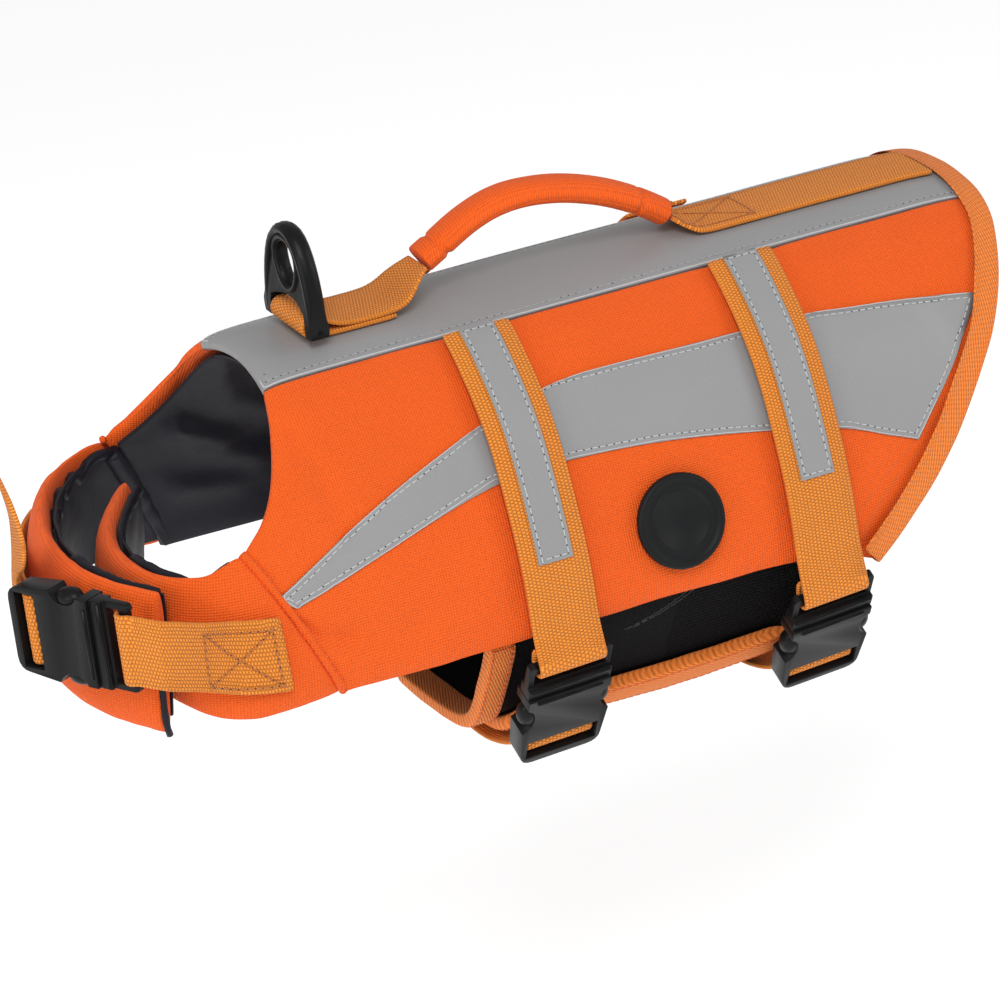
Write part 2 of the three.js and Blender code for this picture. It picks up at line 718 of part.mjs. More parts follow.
const FRONT_BUCKLE = buckleFrame([-193.8, -67.4, -53.5], [-214.9, -22.7, -55.7], [-0.904, -0.427, 0]);
const BELLY_BUCKLES = [
  buckleFrame([-48.8, -77, -93.8], [-46.8, -54.7, -137], [0, -0.887, -0.462]),
  buckleFrame([54.5, -76.4, -99], [58.5, -52, -141.8], [0, -0.868, -0.497]),
];

function buckle(name, { matrix }) {
  const holder = new THREE.Group();
  matrix.decompose(holder.position, holder.quaternion, holder.scale);
  group.add(holder);
  add(`${name}_plug`, plug(), PLASTIC, 0.4, holder);
  add(`${name}_socket`, socket(), PLASTIC, 0.4, holder);
}

buckle('buckle_chest', FRONT_BUCKLE);
buckle('buckle_front', BELLY_BUCKLES[0]);
buckle('buckle_rear', BELLY_BUCKLES[1]);

const BAR_CLEAR = WEBBING / 2 + GAP;

// Stations of webbing in a buckle, at lengths along it and heights above its inner face
function inBuckle(frame, ...points) {
  const across = frame.w.z < -0.5 ? frame.w.clone().negate() : frame.w;
  return points.map(([along, up]) => ({ at: frame.at(along, up), across }));
}

// Stations round a bar in a buckle, between two angles in degrees
function roundBar(frame, bar, fromAngle, toAngle, count) {
  const along = (bar.from + bar.to) / 2;
  const up = (bar.low + bar.high) / 2;
  const radius = Math.hypot(bar.to - bar.from, bar.high - bar.low) / 2 + BAR_CLEAR;
  const points = steps(count).map((share) => {
    const angle = THREE.MathUtils.degToRad(lerp(fromAngle, toAngle, share));
    return [along + radius * Math.cos(angle), up + radius * Math.sin(angle)];
  });
  return inBuckle(frame, ...points);
}

function onLine(...points) {
  return points.map(([x, y, z]) => ({ at: new THREE.Vector3(x, y, z) }));
}

// Straps on the back, lying over the swooshes

const STRAP_ARCS = [28.4, 34, 40, 46, 52, 60, 68, 78, 88, 98, 108, 118, 128, 136];

function strapLift(arc) {
  return lerp(1.35, STRAP_LIFT, smoothstep(arc, 42, 52));
}

function onStrap(x, side, extra = 0) {
  return (arc) => ({ at: onBack(x, side * arc, strapLift(arc) + extra) });
}

// From the back strip down the near side and round the plug's bar
function nearStrap(x, frame) {
  const loop = roundBar(frame, PLUG_BAR, 127, -40, 7);
  const tail = inBuckle(frame, [1.6, 0.9], [-2.2, 0.4]);
  return [...STRAP_ARCS.map(onStrap(x, NEAR)), ...loop, ...tail];
}

const BELT_LEVEL = -144.4;

// Webbing that comes in under a socket's end, turns over its crossbar and ends below the socket
function socketLoop(frame) {
  const inward = inBuckle(frame, [BUCKLE_LENGTH + 3, -1.9], [47.8, -1.35], [46.4, -0.85], [45.6, 0.5]);
  const loop = roundBar(frame, SOCKET_BAR, -5, 185, 8);
  const tail = inBuckle(frame, [39.8, 0.6], [39.1, -0.8], [37.6, -1.3], [36.6, -1.3]);
  return [...inward, ...loop, ...tail];
}

// From the back strip down the far side, under the belly and round the near socket's crossbar
function farStrap(x, frame, sag) {
  const middle = onLine(
    [x, 78.9, -94],
    [x, 77.6, -99],
    [x, 72.8, -106],
    [x, 67.4, -115.5],
    [x, 61.8, -125.5],
    [x, 55.2, -134.6],
    [x, 46.5, -139.8 - 0.6 * sag],
    [x, 34, -142.8 - sag],
    [x, 15, BELT_LEVEL - sag],
    [x, -15, BELT_LEVEL - sag],
    [x, -34, BELT_LEVEL - 0.8 - sag],
  );
  return [...STRAP_ARCS.map(onStrap(x, FAR)), ...middle, ...socketLoop(frame)];
}

const ALONG = new THREE.Vector3(1, 0, 0);
const TAPE_EXTRA = WEBBING / 2 + GAP + FOIL / 2 + 0.1;
const TAPE_ENDS = { front: 112, rear: 110 };

function strapTape(x, side, end) {
  const arcs = [...STRAP_ARCS.slice(0, -1).filter((arc) => arc < end - 4), end];
  return ribbon(arcs.map(onStrap(x, side, TAPE_EXTRA)), { across: ALONG, width: TAPE_WIDTH, thickness: FOIL });
}

const STRAPS = [
  { name: 'front', x: FRONT_STRAP_X, frame: BELLY_BUCKLES[0], sag: 0 },
  { name: 'rear', x: REAR_STRAP_X, frame: BELLY_BUCKLES[1], sag: 1.5 },
];
for (const { name, x, frame, sag } of STRAPS) {
  add(`strap_${name}_near`, ribbon(nearStrap(x, frame), { across: ALONG }), TAPE.webbing);
  add(`strap_${name}_far`, ribbon(farStrap(x, frame, sag), { across: ALONG }), TAPE.webbing);
  add(`strap_tape_${name}_near`, strapTape(x, NEAR, TAPE_ENDS[name]), CLOTH.grey, 0.45);
  add(`strap_tape_${name}_far`, strapTape(x, FAR, TAPE_ENDS[name]), CLOTH.grey, 0.45);
}

// Chest webbing: one length sewn to each flap, joined by the chest buckle

// A station of webbing on a flap's face, tilted as the face is there
function onFlap(shape, along, up) {
  const lift = WEBBING / 2 + GAP + 0.7;
  const high = shape.place(along, up + WEBBING_WIDTH / 2, lift);
  const low = shape.place(along, up - WEBBING_WIDTH / 2, lift);
  return { at: high.clone().lerp(low, 0.5), across: high.sub(low).normalize() };
}

const UPWARD = new THREE.Vector3(0, 0, 1);

function nearChestWebbing() {
  const sewn = [
    { along: 28, up: -68.6 },
    { along: 34, up: -67.8 },
    { along: 40, up: -66.7 },
    { along: 46, up: -65.4 },
  ].map(({ along, up }) => onFlap(nearFlap, along, up));
  const free = onLine([-175.5, -75.2, -61.4], [-184.4, -77.2, -57.4], [-191.6, -78.4, -54.8]);
  const loop = roundBar(FRONT_BUCKLE, PLUG_BAR, 150, -30, 7);
  return [...sewn, ...free, ...loop, ...inBuckle(FRONT_BUCKLE, [3.9, 0.9])];
}

function farChestWebbing() {
  const sewn = [
    { along: 70, up: -65.4 },
    { along: 80, up: -64.4 },
    { along: 90, up: -63 },
    { along: 100, up: -61.6 },
    { along: 110, up: -60.4 },
    { along: 121, up: -59.2 },
  ].map(({ along, up }) => onFlap(farFlap, along, up));
  const free = onLine([-210.4, -4, -57.4], [-212.6, -12, -56.4]);
  return [...sewn, ...free, ...socketLoop(FRONT_BUCKLE)];
}

// The loose end past the socket, standing up beside the buckle with its last part folded over
function chestTail() {
  return [
    { x: -216.1, y: -13.9, z: -51, width: 9 },
    { x: -216.6, y: -16, z: -43.6, width: 8 },
    { x: -216.8, y: -18.6, z: -39, width: 9 },
    { x: -216.6, y: -21, z: -35.4, width: 17 },
    { x: -216.4, y: -22.5, z: -30.6, width: 21 },
    { x: -216, y: -23, z: -23.6, width: 23 },
    { x: -217, y: -22.6, z: -16.6, width: 24 },
    { x: -218.4, y: -21, z: -8.6, width: 24 },
  ].map(({ x, y, z, width }) => ({ at: new THREE.Vector3(x, y, z), width }));
}

const TAIL_ACROSS = new THREE.Vector3(0.2, 0.98, 0);

add('chest_webbing_near', ribbon(nearChestWebbing(), { across: UPWARD }), TAPE.webbing);
add('chest_webbing_far', ribbon(farChestWebbing(), { across: UPWARD }), TAPE.webbing);
add('chest_webbing_tail', ribbon(chestTail(), { across: TAIL_ACROSS }), TAPE.webbing);

// D-ring, standing in its webbing loop. It is modelled with its bar on the origin and turns about y.

function ring() {
  const outline = new THREE.Shape();
  outline.moveTo(-17.6, -2.6);
  outline.lineTo(17.6, -2.6);
  outline.quadraticCurveTo(18.8, -2.4, 18.7, 2);
  outline.bezierCurveTo(18.2, 14, 13.5, 33.5, 0, 33.5);
  outline.bezierCurveTo(-13.5, 33.5, -18.2, 14, -18.7, 2);
  outline.quadraticCurveTo(-18.8, -2.4, -17.6, -2.6);
  const slot = new THREE.Path();
  slot.moveTo(-13.4, RING_BAR);
  slot.lineTo(13.4, RING_BAR);
  slot.lineTo(12.6, 5.4);
  slot.quadraticCurveTo(0, 10.5, -12.6, 5.4);
  const eye = new THREE.Path();
  eye.moveTo(0, 11.5);
  eye.bezierCurveTo(4.6, 11.5, 7.6, 18, 7.2, 22);
  eye.bezierCurveTo(6.6, 29.2, -6.6, 29.2, -7.2, 22);
  eye.bezierCurveTo(-7.6, 18, -4.6, 11.5, 0, 11.5);
  outline.holes.push(slot, eye);
  const flat = plate(outline, -RING_THICKNESS / 2, RING_THICKNESS / 2, 7);
  const upright = new THREE.Matrix4().makeBasis(
    new THREE.Vector3(0, 1, 0),
    new THREE.Vector3(0, 0, 1),
    new THREE.Vector3(1, 0, 0),
  );
  let body = solid(flat.applyMatrix4(upright));
  const half = RING_THICKNESS;
  const cuts = [
    block([RING_BAR, -13.4, -4], [half, 13.4, RING_BAR + 0.01]),
    block([-half, -13.4, -4], [-RING_BAR, 13.4, RING_BAR + 0.01]),
    block([-half, -13.4, -4], [half, 13.4, -RING_BAR]),
  ];
  for (const cut of cuts) body = body.subtract(solid(cut));
  return fromSolid(body);
}

const ringHolder = new THREE.Group();
ringHolder.position.set(RING_X, 0, RING_Z);
group.add(ringHolder);
add('d_ring', ring(), PLASTIC, 0.4, ringHolder);

// Spine webbing and the grab handle

const ACROSS = new THREE.Vector3(0, 1, 0);
const SPINE_CROWN = 0.6;
const SPINE_LIFT = BACK_CROWN + GAP + WEBBING / 2;
const SECOND_LIFT = SPINE_LIFT + WEBBING + GAP;
const RING_LOOP_RADIUS = RING_BAR * Math.SQRT2 + BAR_CLEAR;

function frontSpine() {
  const lower = [-69, -80, -92].map((x) => ({ at: new THREE.Vector3(x, 0, SPINE_LIFT), crown: SPINE_CROWN }));
  const loop = steps(9).map((share) => {
    const angle = -Math.PI / 2 - share * Math.PI * 1.15;
    const x = RING_X + RING_LOOP_RADIUS * Math.cos(angle);
    return { at: new THREE.Vector3(x, 0, RING_Z + RING_LOOP_RADIUS * Math.sin(angle)) };
  });
  const upper = [-90, -80, -70].map((x) => ({ at: new THREE.Vector3(x, 0, SECOND_LIFT), crown: -SPINE_CROWN }));
  const rise = [
    { x: -65.5, z: 12.7, width: 25 },
    { x: -62.6, z: 14.7, width: 24 },
    { x: -60, z: 17.1, width: 20.5 },
    { x: -57, z: 19.3, width: 16.5 },
    { x: -53.9, z: 21.2, width: 13 },
  ].map(({ x, z, width }) => ({ at: new THREE.Vector3(x, 0, z), width }));
  return [...lower, { at: new THREE.Vector3(-97.5, 0, SPINE_LIFT) }, ...loop, ...upper, ...rise];
}

function rearSpine() {
  const fall = [
    { x: 41.6, z: 14.6, width: 13.5 },
    { x: 44.2, z: 12.6, width: 19 },
    { x: 46.8, z: 11.2, width: 24 },
  ].map(({ x, z, width }) => ({ at: new THREE.Vector3(x, 0, z), width }));
  const flat = [50, 60, 80, 100, 120, 130, 137, 143.4].map((x) => {
    const at = onBack(x, 0, GAP + WEBBING / 2);
    return { at, crown: -SPINE_CROWN };
  });
  return [...fall, ...flat];
}

add('spine_webbing_front', ribbon(frontSpine(), { across: ACROSS, crowned: true }), TAPE.webbing);
add('spine_webbing_rear', ribbon(rearSpine(), { across: ACROSS, crowned: true }), TAPE.webbing);

const HANDLE_LINE = [
  { x: -53, z: 21.6 },
  { x: -45, z: 26 },
  { x: -35, z: 31.6 },
  { x: -22, z: 35.6 },
  { x: -3, z: 34.8 },
  { x: 17, z: 28.8 },
  { x: 32, z: 21.2 },
  { x: 40.4, z: 15.6 },
];
const GRIP_OUTLINE = [
  { across: -6.2, up: -2 },
  { across: -6.8, up: 1.6 },
  { across: -4.6, up: 4.8 },
  { across: 0, up: 5.6 },
  { across: 4.6, up: 4.8 },
  { across: 6.8, up: 1.6 },
  { across: 6.2, up: -2 },
  { across: 3.4, up: -4.6 },
  { across: -3.4, up: -4.6 },
];

function grip() {
  const line = new THREE.CatmullRomCurve3(HANDLE_LINE.map(({ x, z }) => new THREE.Vector3(x, 0, z)));
  const outline = GRIP_OUTLINE.map(({ across, up }) => new THREE.Vector2(across, up));
  const sections = steps(16).map((share) => {
    const centre = line.getPointAt(share);
    const tangent = line.getTangentAt(share);
    const up = tangent.clone().cross(ACROSS).normalize();
    return outline.map((p) => centre.clone().addScaledVector(ACROSS, p.x).addScaledVector(up, p.y));
  });
  return loft(sections, outline);
}

add('handle_grip', grip(), CLOTH.orange);

// Round badge on the near side, a disc with a raised rim

function badge() {
  const profileLine = [
    new THREE.Vector2(0, 0),
    new THREE.Vector2(BADGE_RADIUS, 0),
    new THREE.Vector2(BADGE_RADIUS, 1.8),
    new THREE.Vector2(BADGE_RADIUS - 0.8, 2.4),
    new THREE.Vector2(BADGE_RADIUS - 2.2, 2.4),
    new THREE.Vector2(BADGE_RADIUS - 2.8, 1.6),
    new THREE.Vector2(0, 1.6),
  ];
  return new THREE.LatheGeometry(profileLine, 28);
}

const badgeHolder = new THREE.Group();
const badgeSeat = onBack(BADGE_X, BADGE_ARC, GAP + 0.2);
const badgeOut = onBack(BADGE_X, BADGE_ARC, GAP + 1.2).sub(badgeSeat);
badgeHolder.position.copy(badgeSeat);
badgeHolder.quaternion.setFromUnitVectors(ACROSS, badgeOut);
group.add(badgeHolder);
add('badge', badge(), 0x1b1c1f, 0.6, badgeHolder);

export default group;
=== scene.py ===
import json
import math

import bmesh
import bpy
import numpy as np
from mathutils import Matrix, Vector, noise
from mathutils.bvhtree import BVHTree
from mathutils.kdtree import KDTree


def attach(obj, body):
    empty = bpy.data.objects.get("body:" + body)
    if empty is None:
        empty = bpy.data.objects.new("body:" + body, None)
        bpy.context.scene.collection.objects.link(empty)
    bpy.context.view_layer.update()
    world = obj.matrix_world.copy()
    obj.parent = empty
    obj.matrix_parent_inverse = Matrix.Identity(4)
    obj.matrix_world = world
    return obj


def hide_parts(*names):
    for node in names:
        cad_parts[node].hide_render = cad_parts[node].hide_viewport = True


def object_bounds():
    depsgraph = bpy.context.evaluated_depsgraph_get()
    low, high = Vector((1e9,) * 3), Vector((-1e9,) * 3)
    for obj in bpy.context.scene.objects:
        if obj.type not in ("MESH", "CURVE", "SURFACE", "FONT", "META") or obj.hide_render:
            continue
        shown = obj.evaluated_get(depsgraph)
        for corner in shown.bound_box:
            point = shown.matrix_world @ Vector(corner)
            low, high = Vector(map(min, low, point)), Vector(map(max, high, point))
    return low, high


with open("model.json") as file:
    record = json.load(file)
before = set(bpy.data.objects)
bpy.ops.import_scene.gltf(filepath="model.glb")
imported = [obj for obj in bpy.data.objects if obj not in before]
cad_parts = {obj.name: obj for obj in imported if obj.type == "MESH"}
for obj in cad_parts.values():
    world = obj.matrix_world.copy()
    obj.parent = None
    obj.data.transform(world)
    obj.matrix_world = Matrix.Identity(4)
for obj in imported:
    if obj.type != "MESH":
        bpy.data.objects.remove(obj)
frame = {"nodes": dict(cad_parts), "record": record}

CAD_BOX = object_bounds()
NODES = frame["nodes"]
BODY = "jacket"

# Sizes in metres
MM = 0.001
FRONT_STRAP_X = -0.0484
REAR_STRAP_X = 0.054
GIRTH_CENTRE = (0.0, -0.060)
GIRTH_RADIUS = 0.070
CHEST_CENTRE = (-0.135, 0.0)
CHEST_RADIUS = 0.068

# Stitches, and the cut edges and rolls beside them
STITCH_LENGTH = 2.3 * MM
STITCH_PITCH = 2.85 * MM
STITCH_RADIUS = 0.2 * MM
STITCH_LIFT = 0.08 * MM
HOLE_RADIUS = 0.3 * MM
ON_SURFACE = 0.4 * MM
MITRE_LIMIT = 0.3
EDGE_STEP = 2.0 * MM
ROLL_STEP = 2.5 * MM

# Weaves
OXFORD_U = 0.95 * MM
OXFORD_V = 0.85 * MM
RIB_PITCH = 1.4 * MM
PICK_PITCH = 1.15 * MM
TWILL_PITCH = 1.0 * MM
LINING_PITCH = 0.45 * MM
KNIT_RIB = 1.5 * MM
KNIT_LOOP = 1.1 * MM
KNIT_FROM_X = 2 * MM

# Reflective cloth laid on the panels, and the lining's lower edge
FOIL_THICKNESS = 0.5 * MM
FOIL_LIFT = 0.12 * MM
FOIL_REACH = 5.5 * MM
LINING_REACH = 12.5 * MM
LINING_LOW = -52 * MM
LINING_OVER = 22 * MM
LINING_HELD = 12 * MM

# Rolls of cloth in the chest seams, and the end of the outer chest flap
SEAM_ROLL = 1.4 * MM
SEAM_SUNK = 1.3 * MM
SEAM_INSIDE = 3.2 * MM
SEAM_REACH = 1.5 * MM
FLAP_END_Y = -65 * MM

# Buckles: middle of the plug's inner end, a point towards the socket's end, and the outward side
BUCKLES = {
    "chest": ((-0.1938, -0.0674, -0.0535), (-0.2149, -0.0227, -0.0557), (-0.904, -0.427, 0)),
    "front": ((-0.0488, -0.0770, -0.0938), (-0.0468, -0.0547, -0.1370), (0, -0.887, -0.462)),
    "rear": ((0.0545, -0.0764, -0.0990), (0.0585, -0.0520, -0.1418), (0, -0.868, -0.497)),
}
RING_PIVOT = (-0.1004, 0, 0.0135)

# Colours, linear
ORANGE = (0.84, 0.108, 0.006)
GREY = (0.255, 0.255, 0.258)
AMBER = (0.9, 0.27, 0.03)
BINDING = (0.8, 0.205, 0.03)
NAVY = (0.006, 0.006, 0.0105)
BELLY = (0.0035, 0.0035, 0.004)
PLASTIC = (0.006, 0.0062, 0.0068)
RUBBER = (0.008, 0.0085, 0.009)
PALE_THREAD = (0.46, 0.47, 0.48)
# Painted shade for the needle holes
NEEDLE_HOLE_SHADE = (0.02, 0.02, 0.024)


# Materials

class Shader:
    """A principled material and short ways to add nodes to it."""

    def __init__(self, name, color, roughness):
        self.material = bpy.data.materials.new(name)
        self.material.use_nodes = True
        self.tree = self.material.node_tree
        self.bsdf = self.tree.nodes["Principled BSDF"]
        self.bsdf.inputs["Base Color"].default_value = (*color, 1)
        self.bsdf.inputs["Roughness"].default_value = roughness
        self.material.diffuse_color = (*color, 1)

    def node(self, kind, **values):
        made = self.tree.nodes.new(kind)
        for name, value in values.items():
            made.inputs[name].default_value = value
        return made

    def link(self, source, target):
        self.tree.links.new(source, target)

    def math(self, operation, a, b=None):
        made = self.tree.nodes.new("ShaderNodeMath")
        made.operation = operation
        for socket, value in zip(made.inputs, (a, b)):
            if value is None:
                continue
            if isinstance(value, (int, float)):
                socket.default_value = value
            else:
                self.link(value, socket)
        return made.outputs[0]

    def uv(self, turn=0.0):
        place = self.tree.nodes.new("ShaderNodeUVMap")
        place.uv_map = "cloth"
        turned = self.tree.nodes.new("ShaderNodeMapping")
        turned.inputs["Rotation"].default_value = (0, 0, turn)
        self.link(place.outputs["UV"], turned.inputs["Vector"])
        split = self.tree.nodes.new("ShaderNodeSeparateXYZ")
        self.link(turned.outputs["Vector"], split.inputs["Vector"])
        return split.outputs["X"], split.outputs["Y"]

    def noise(self, scale, detail=3.0, roughness=0.55):
        place = self.tree.nodes.new("ShaderNodeTexCoord")
        made = self.node("ShaderNodeTexNoise", Scale=scale, Detail=detail, Roughness=roughness)
        self.link(place.outputs["Object"], made.inputs["Vector"])
        return made.outputs["Fac"]

    def mix(self, factor, low, high):
        """A colour between two, by a factor."""
        made = self.tree.nodes.new("ShaderNodeMix")
        made.data_type = "RGBA"
        self.link(factor, made.inputs["Factor"])
        for socket, value in ((made.inputs[6], low), (made.inputs[7], high)):
            if isinstance(value, tuple):
                socket.default_value = (*value, 1)
            else:
                self.link(value, socket)
        return made.outputs[2]

    def bump(self, height, distance, strength=1.0, under=None):
        made = self.node("ShaderNodeBump", Distance=distance, Strength=strength)
        self.link(height, made.inputs["Height"])
        if under is not None:
            self.link(under, made.inputs["Normal"])
        return made.outputs["Normal"]

    def color(self, socket):
        self.link(socket, self.bsdf.inputs["Base Color"])

    def normal(self, socket):
        self.link(socket, self.bsdf.inputs["Normal"])

    def fuzzy(self, height, depth, sheen, grain=1500, strength=0.35):
        """A woven surface of a height, under fine fuzz."""
        fuzz = self.bump(self.noise(grain, 2.0), 0.0001, strength)
        self.normal(self.bump(height, depth, 1.0, fuzz))
        self.set(Sheen_Weight=sheen, Sheen_Roughness=0.5, Specular_IOR_Level=0.25)

    def set(self, **values):
        for name, value in values.items():
            self.bsdf.inputs[name.replace("_", " ")].default_value = value


def thread(shader, across, along, parity, pitch_across, pitch_along):
    """Height of one set of threads: round across, over and under along."""
    column = shader.math("DIVIDE", across, pitch_across)
    row = shader.math("DIVIDE", along, pitch_along)
    rounded = shader.math("ABSOLUTE", shader.math("SINE", shader.math("MULTIPLY", column, math.pi)))
    shift = shader.math("ADD", shader.math("FLOOR", column), parity)
    wave = shader.math("COSINE", shader.math("MULTIPLY", shader.math("ADD", row, shift), math.pi))
    over = shader.math("MULTIPLY_ADD", wave, 0.5)
    over.node.inputs[2].default_value = 0.5
    return shader.math("MULTIPLY", rounded, over)


def weave(shader, pitch_u, pitch_v, turn=0.0):
    """Height of two sets of threads that pass over and under each other."""
    u, v = shader.uv(turn)
    warp = thread(shader, u, v, 0.5, pitch_u, pitch_v)
    weft = thread(shader, v, u, 1.5, pitch_v, pitch_u)
    return shader.math("MAXIMUM", warp, weft)


def scaled(color, factor):
    return tuple(min(1.0, c * factor) for c in color)


def oxford(name, turn=0.0):
    """Cloth whose threads show, with painted shade in the gaps between threads, a painted highlight on
    the thread tops, and a slow change of tone.
    """
    shader = Shader(name, ORANGE, 0.8)
    height = weave(shader, OXFORD_U, OXFORD_V, turn)
    # The threads' colour by their height: painted shade in the gaps, painted highlight on the thread
    # tops.
    threads = shader.mix(height, scaled(ORANGE, 0.45), scaled(ORANGE, 1.16))
    patch = shader.mix(shader.noise(38), scaled(ORANGE, 0.9), scaled(ORANGE, 1.1))
    shader.color(shader.mix(shader.noise(900, 1.0), threads, patch))
    shader.fuzzy(height, 0.0003, 0.05)
    return shader.material


def stripes(shader, at, pitch):
    """Rounded ridges from 0 to 1, one to a pitch."""
    return shader.math("ABSOLUTE", shader.math("SINE", shader.math("MULTIPLY", at, math.pi / pitch)))


def twill():
    """Tape with ribs that run at a small angle to it, with painted shade between the ribs and a painted
    highlight on their tops.
    """
    shader = Shader("binding_tape", BINDING, 0.75)
    u, v = shader.uv(math.radians(24))
    ribs = stripes(shader, u, TWILL_PITCH)
    picks = shader.math("MULTIPLY", stripes(shader, v, 1.6 * TWILL_PITCH), 0.3)
    height = shader.math("ADD", shader.math("MULTIPLY", ribs, 0.7), picks)
    # Colour by the ribs' height: painted shade between the ribs, painted highlight on their tops.
    shader.color(shader.mix(height, scaled(BINDING, 0.52), scaled(BINDING, 1.15)))
    shader.fuzzy(height, 0.0004, 0.08, strength=0.3)
    return shader.material


def ribbed_webbing():
    """Lengthwise ribs of short picks, each rib half a pick further on than the last, with painted shade
    between the ribs and picks and a painted highlight on their tops.
    """
    shader = Shader("webbing", AMBER, 0.78)
    u, v = shader.uv()
    column = shader.math("DIVIDE", u, RIB_PITCH)
    step = shader.math("MULTIPLY", shader.math("FLOOR", column), 0.5)
    row = shader.math("ADD", shader.math("DIVIDE", v, PICK_PITCH), step)
    rib = stripes(shader, column, 1.0)
    pick = stripes(shader, row, 1.0)
    height = shader.math("MULTIPLY", shader.math("POWER", rib, 0.7), shader.math("POWER", pick, 0.8))
    # Colour by the weave's height: painted shade between the ribs and picks, painted highlight on their
    # tops.
    tone = shader.mix(height, scaled(AMBER, 0.4), scaled(AMBER, 1.18))
    patch = shader.mix(shader.noise(60), scaled(AMBER, 0.88), scaled(AMBER, 1.05))
    soft = shader.math("MULTIPLY", shader.noise(900, 1.0), 0.45)
    shader.color(shader.mix(soft, tone, patch))
    shader.fuzzy(height, 0.0005, 0.06, grain=1800)
    return shader.material


def reflective():
    """Grey cloth of fine glass beads."""
    shader = Shader("reflective_cloth", GREY, 0.42)
    tone = shader.mix(shader.noise(22, 4.0), scaled(GREY, 0.9), scaled(GREY, 1.1))
    speck = shader.mix(shader.noise(2600, 1.0), scaled(GREY, 0.8), scaled(GREY, 1.2))
    shader.color(shader.mix(shader.noise(700, 1.0), tone, speck))
    grain = shader.bump(shader.noise(2200, 1.0), 0.00006, 0.6)
    shader.normal(shader.bump(shader.noise(55, 2.0), 0.0009, 0.5, grain))
    shader.set(Specular_IOR_Level=0.45)
    return shader.material


def lining():
    """Smooth cloth with a fine weave and soft crumples."""
    shader = Shader("lining_cloth", NAVY, 0.5)
    shader.color(shader.mix(shader.noise(30), scaled(NAVY, 0.8), scaled(NAVY, 1.7)))
    fine = weave(shader, LINING_PITCH, LINING_PITCH)
    shader.normal(shader.bump(fine, 0.00004, 0.8, shader.bump(shader.noise(70, 3.0), 0.0012, 0.45)))
    shader.set(Sheen_Weight=0.015, Sheen_Roughness=0.4, Specular_IOR_Level=0.2)
    return shader.material


def belly_cloth():
    """Looped pile on the front half, a ribbed knit on the rear half, each with painted shade in its
    hollows and a painted highlight on its tops.
    """
    shader = Shader("belly_cloth", BELLY, 0.85)
    u, v = shader.uv()
    knit = shader.math("MULTIPLY", stripes(shader, v, KNIT_RIB), stripes(shader, u, KNIT_LOOP))
    loops = shader.noise(900, 2.0, 0.7)
    rear = shader.math("GREATER_THAN", u, KNIT_FROM_X)
    height = shader.tree.nodes.new("ShaderNodeMix")
    shader.link(rear, height.inputs["Factor"])
    shader.link(loops, height.inputs[2])
    shader.link(knit, height.inputs[3])
    # Colour by the height of the loops and ribs: painted shade in the hollows, painted highlight on the
    # tops.
    shader.color(shader.mix(height.outputs[0], scaled(BELLY, 0.5), scaled(BELLY, 2.8)))
    shader.normal(shader.bump(height.outputs[0], 0.0005))
    shader.set(Specular_IOR_Level=0.08)
    return shader.material


def moulded(name, color, roughness, grain):
    """Plastic or rubber with a fine grain."""
    shader = Shader(name, color, roughness)
    shader.color(shader.mix(shader.noise(45), scaled(color, 0.85), scaled(color, 1.3)))
    shader.normal(shader.bump(shader.noise(1400, 2.0), grain, 0.5))
    shader.set(Specular_IOR_Level=0.13)
    return shader.material


def thread_material(name, color):
    shader = Shader(name, color, 0.6)
    shader.color(shader.mix(shader.noise(2500, 1.0), scaled(color, 0.75), scaled(color, 1.15)))
    shader.set(Sheen_Weight=0.2, Sheen_Roughness=0.4)
    return shader.material


OXFORD = oxford("oxford_cloth")
FLAP_OXFORD = oxford("oxford_cloth_flap", math.radians(3))
WEBBING = ribbed_webbing()
REFLECTIVE = reflective()
LINING = lining()
TWILL = twill()
BELLY_CLOTH = belly_cloth()
BLACK_PLASTIC = moulded("black_plastic", PLASTIC, 0.36, 0.00008)
BLACK_RUBBER = moulded("black_rubber", RUBBER, 0.5, 0.00005)
PALE = thread_material("pale_thread", PALE_THREAD)
GREY_THREAD = thread_material("grey_thread", (0.33, 0.33, 0.34))
ORANGE_THREAD = thread_material("orange_thread", scaled(ORANGE, 0.8))
AMBER_THREAD = thread_material("amber_thread", scaled(AMBER, 0.5))
# Painted shade in the needle holes, a dark disc in each, not thread
HOLE_SHADE_MATERIAL = thread_material("painted_hole_shade", NEEDLE_HOLE_SHADE)
BELLY_THREAD = thread_material("belly_thread", (0.025, 0.025, 0.028))


# Meshes

def points_of(obj):
    co = np.empty(len(obj.data.vertices) * 3)
    obj.data.vertices.foreach_get("co", co)
    return co.reshape(-1, 3)


def normals_of(obj):
    out = np.empty(len(obj.data.vertices) * 3, np.float32)
    obj.data.vertex_normals.foreach_get("vector", out)
    return out.reshape(-1, 3).astype(float)


def put_points(obj, co):
    obj.data.vertices.foreach_set("co", np.ascontiguousarray(co, np.float32).ravel())
    obj.data.update()


def node_mesh(node, quads=True):
    """A CAD node's mesh with shared points, and its triangle pairs as quads."""
    bm = bmesh.new()
    bm.from_mesh(NODES[node].data)
    bmesh.ops.remove_doubles(bm, verts=bm.verts, dist=2e-6)
    bmesh.ops.dissolve_degenerate(bm, edges=bm.edges, dist=1e-6)
    if quads:
        bmesh.ops.join_triangles(
            bm,
            faces=bm.faces,
            angle_face_threshold=math.radians(45),
            angle_shape_threshold=math.radians(80),
        )
    return bm


def placed(name, data):
    """A new object in the scene."""
    obj = bpy.data.objects.new(name, data)
    bpy.context.scene.collection.objects.link(obj)
    return obj


def new_object(name, bm, material):
    mesh = bpy.data.meshes.new(name)
    bm.to_mesh(mesh)
    bm.free()
    mesh.materials.append(material)
    for face in mesh.polygons:
        face.use_smooth = True
    return placed(name, mesh)


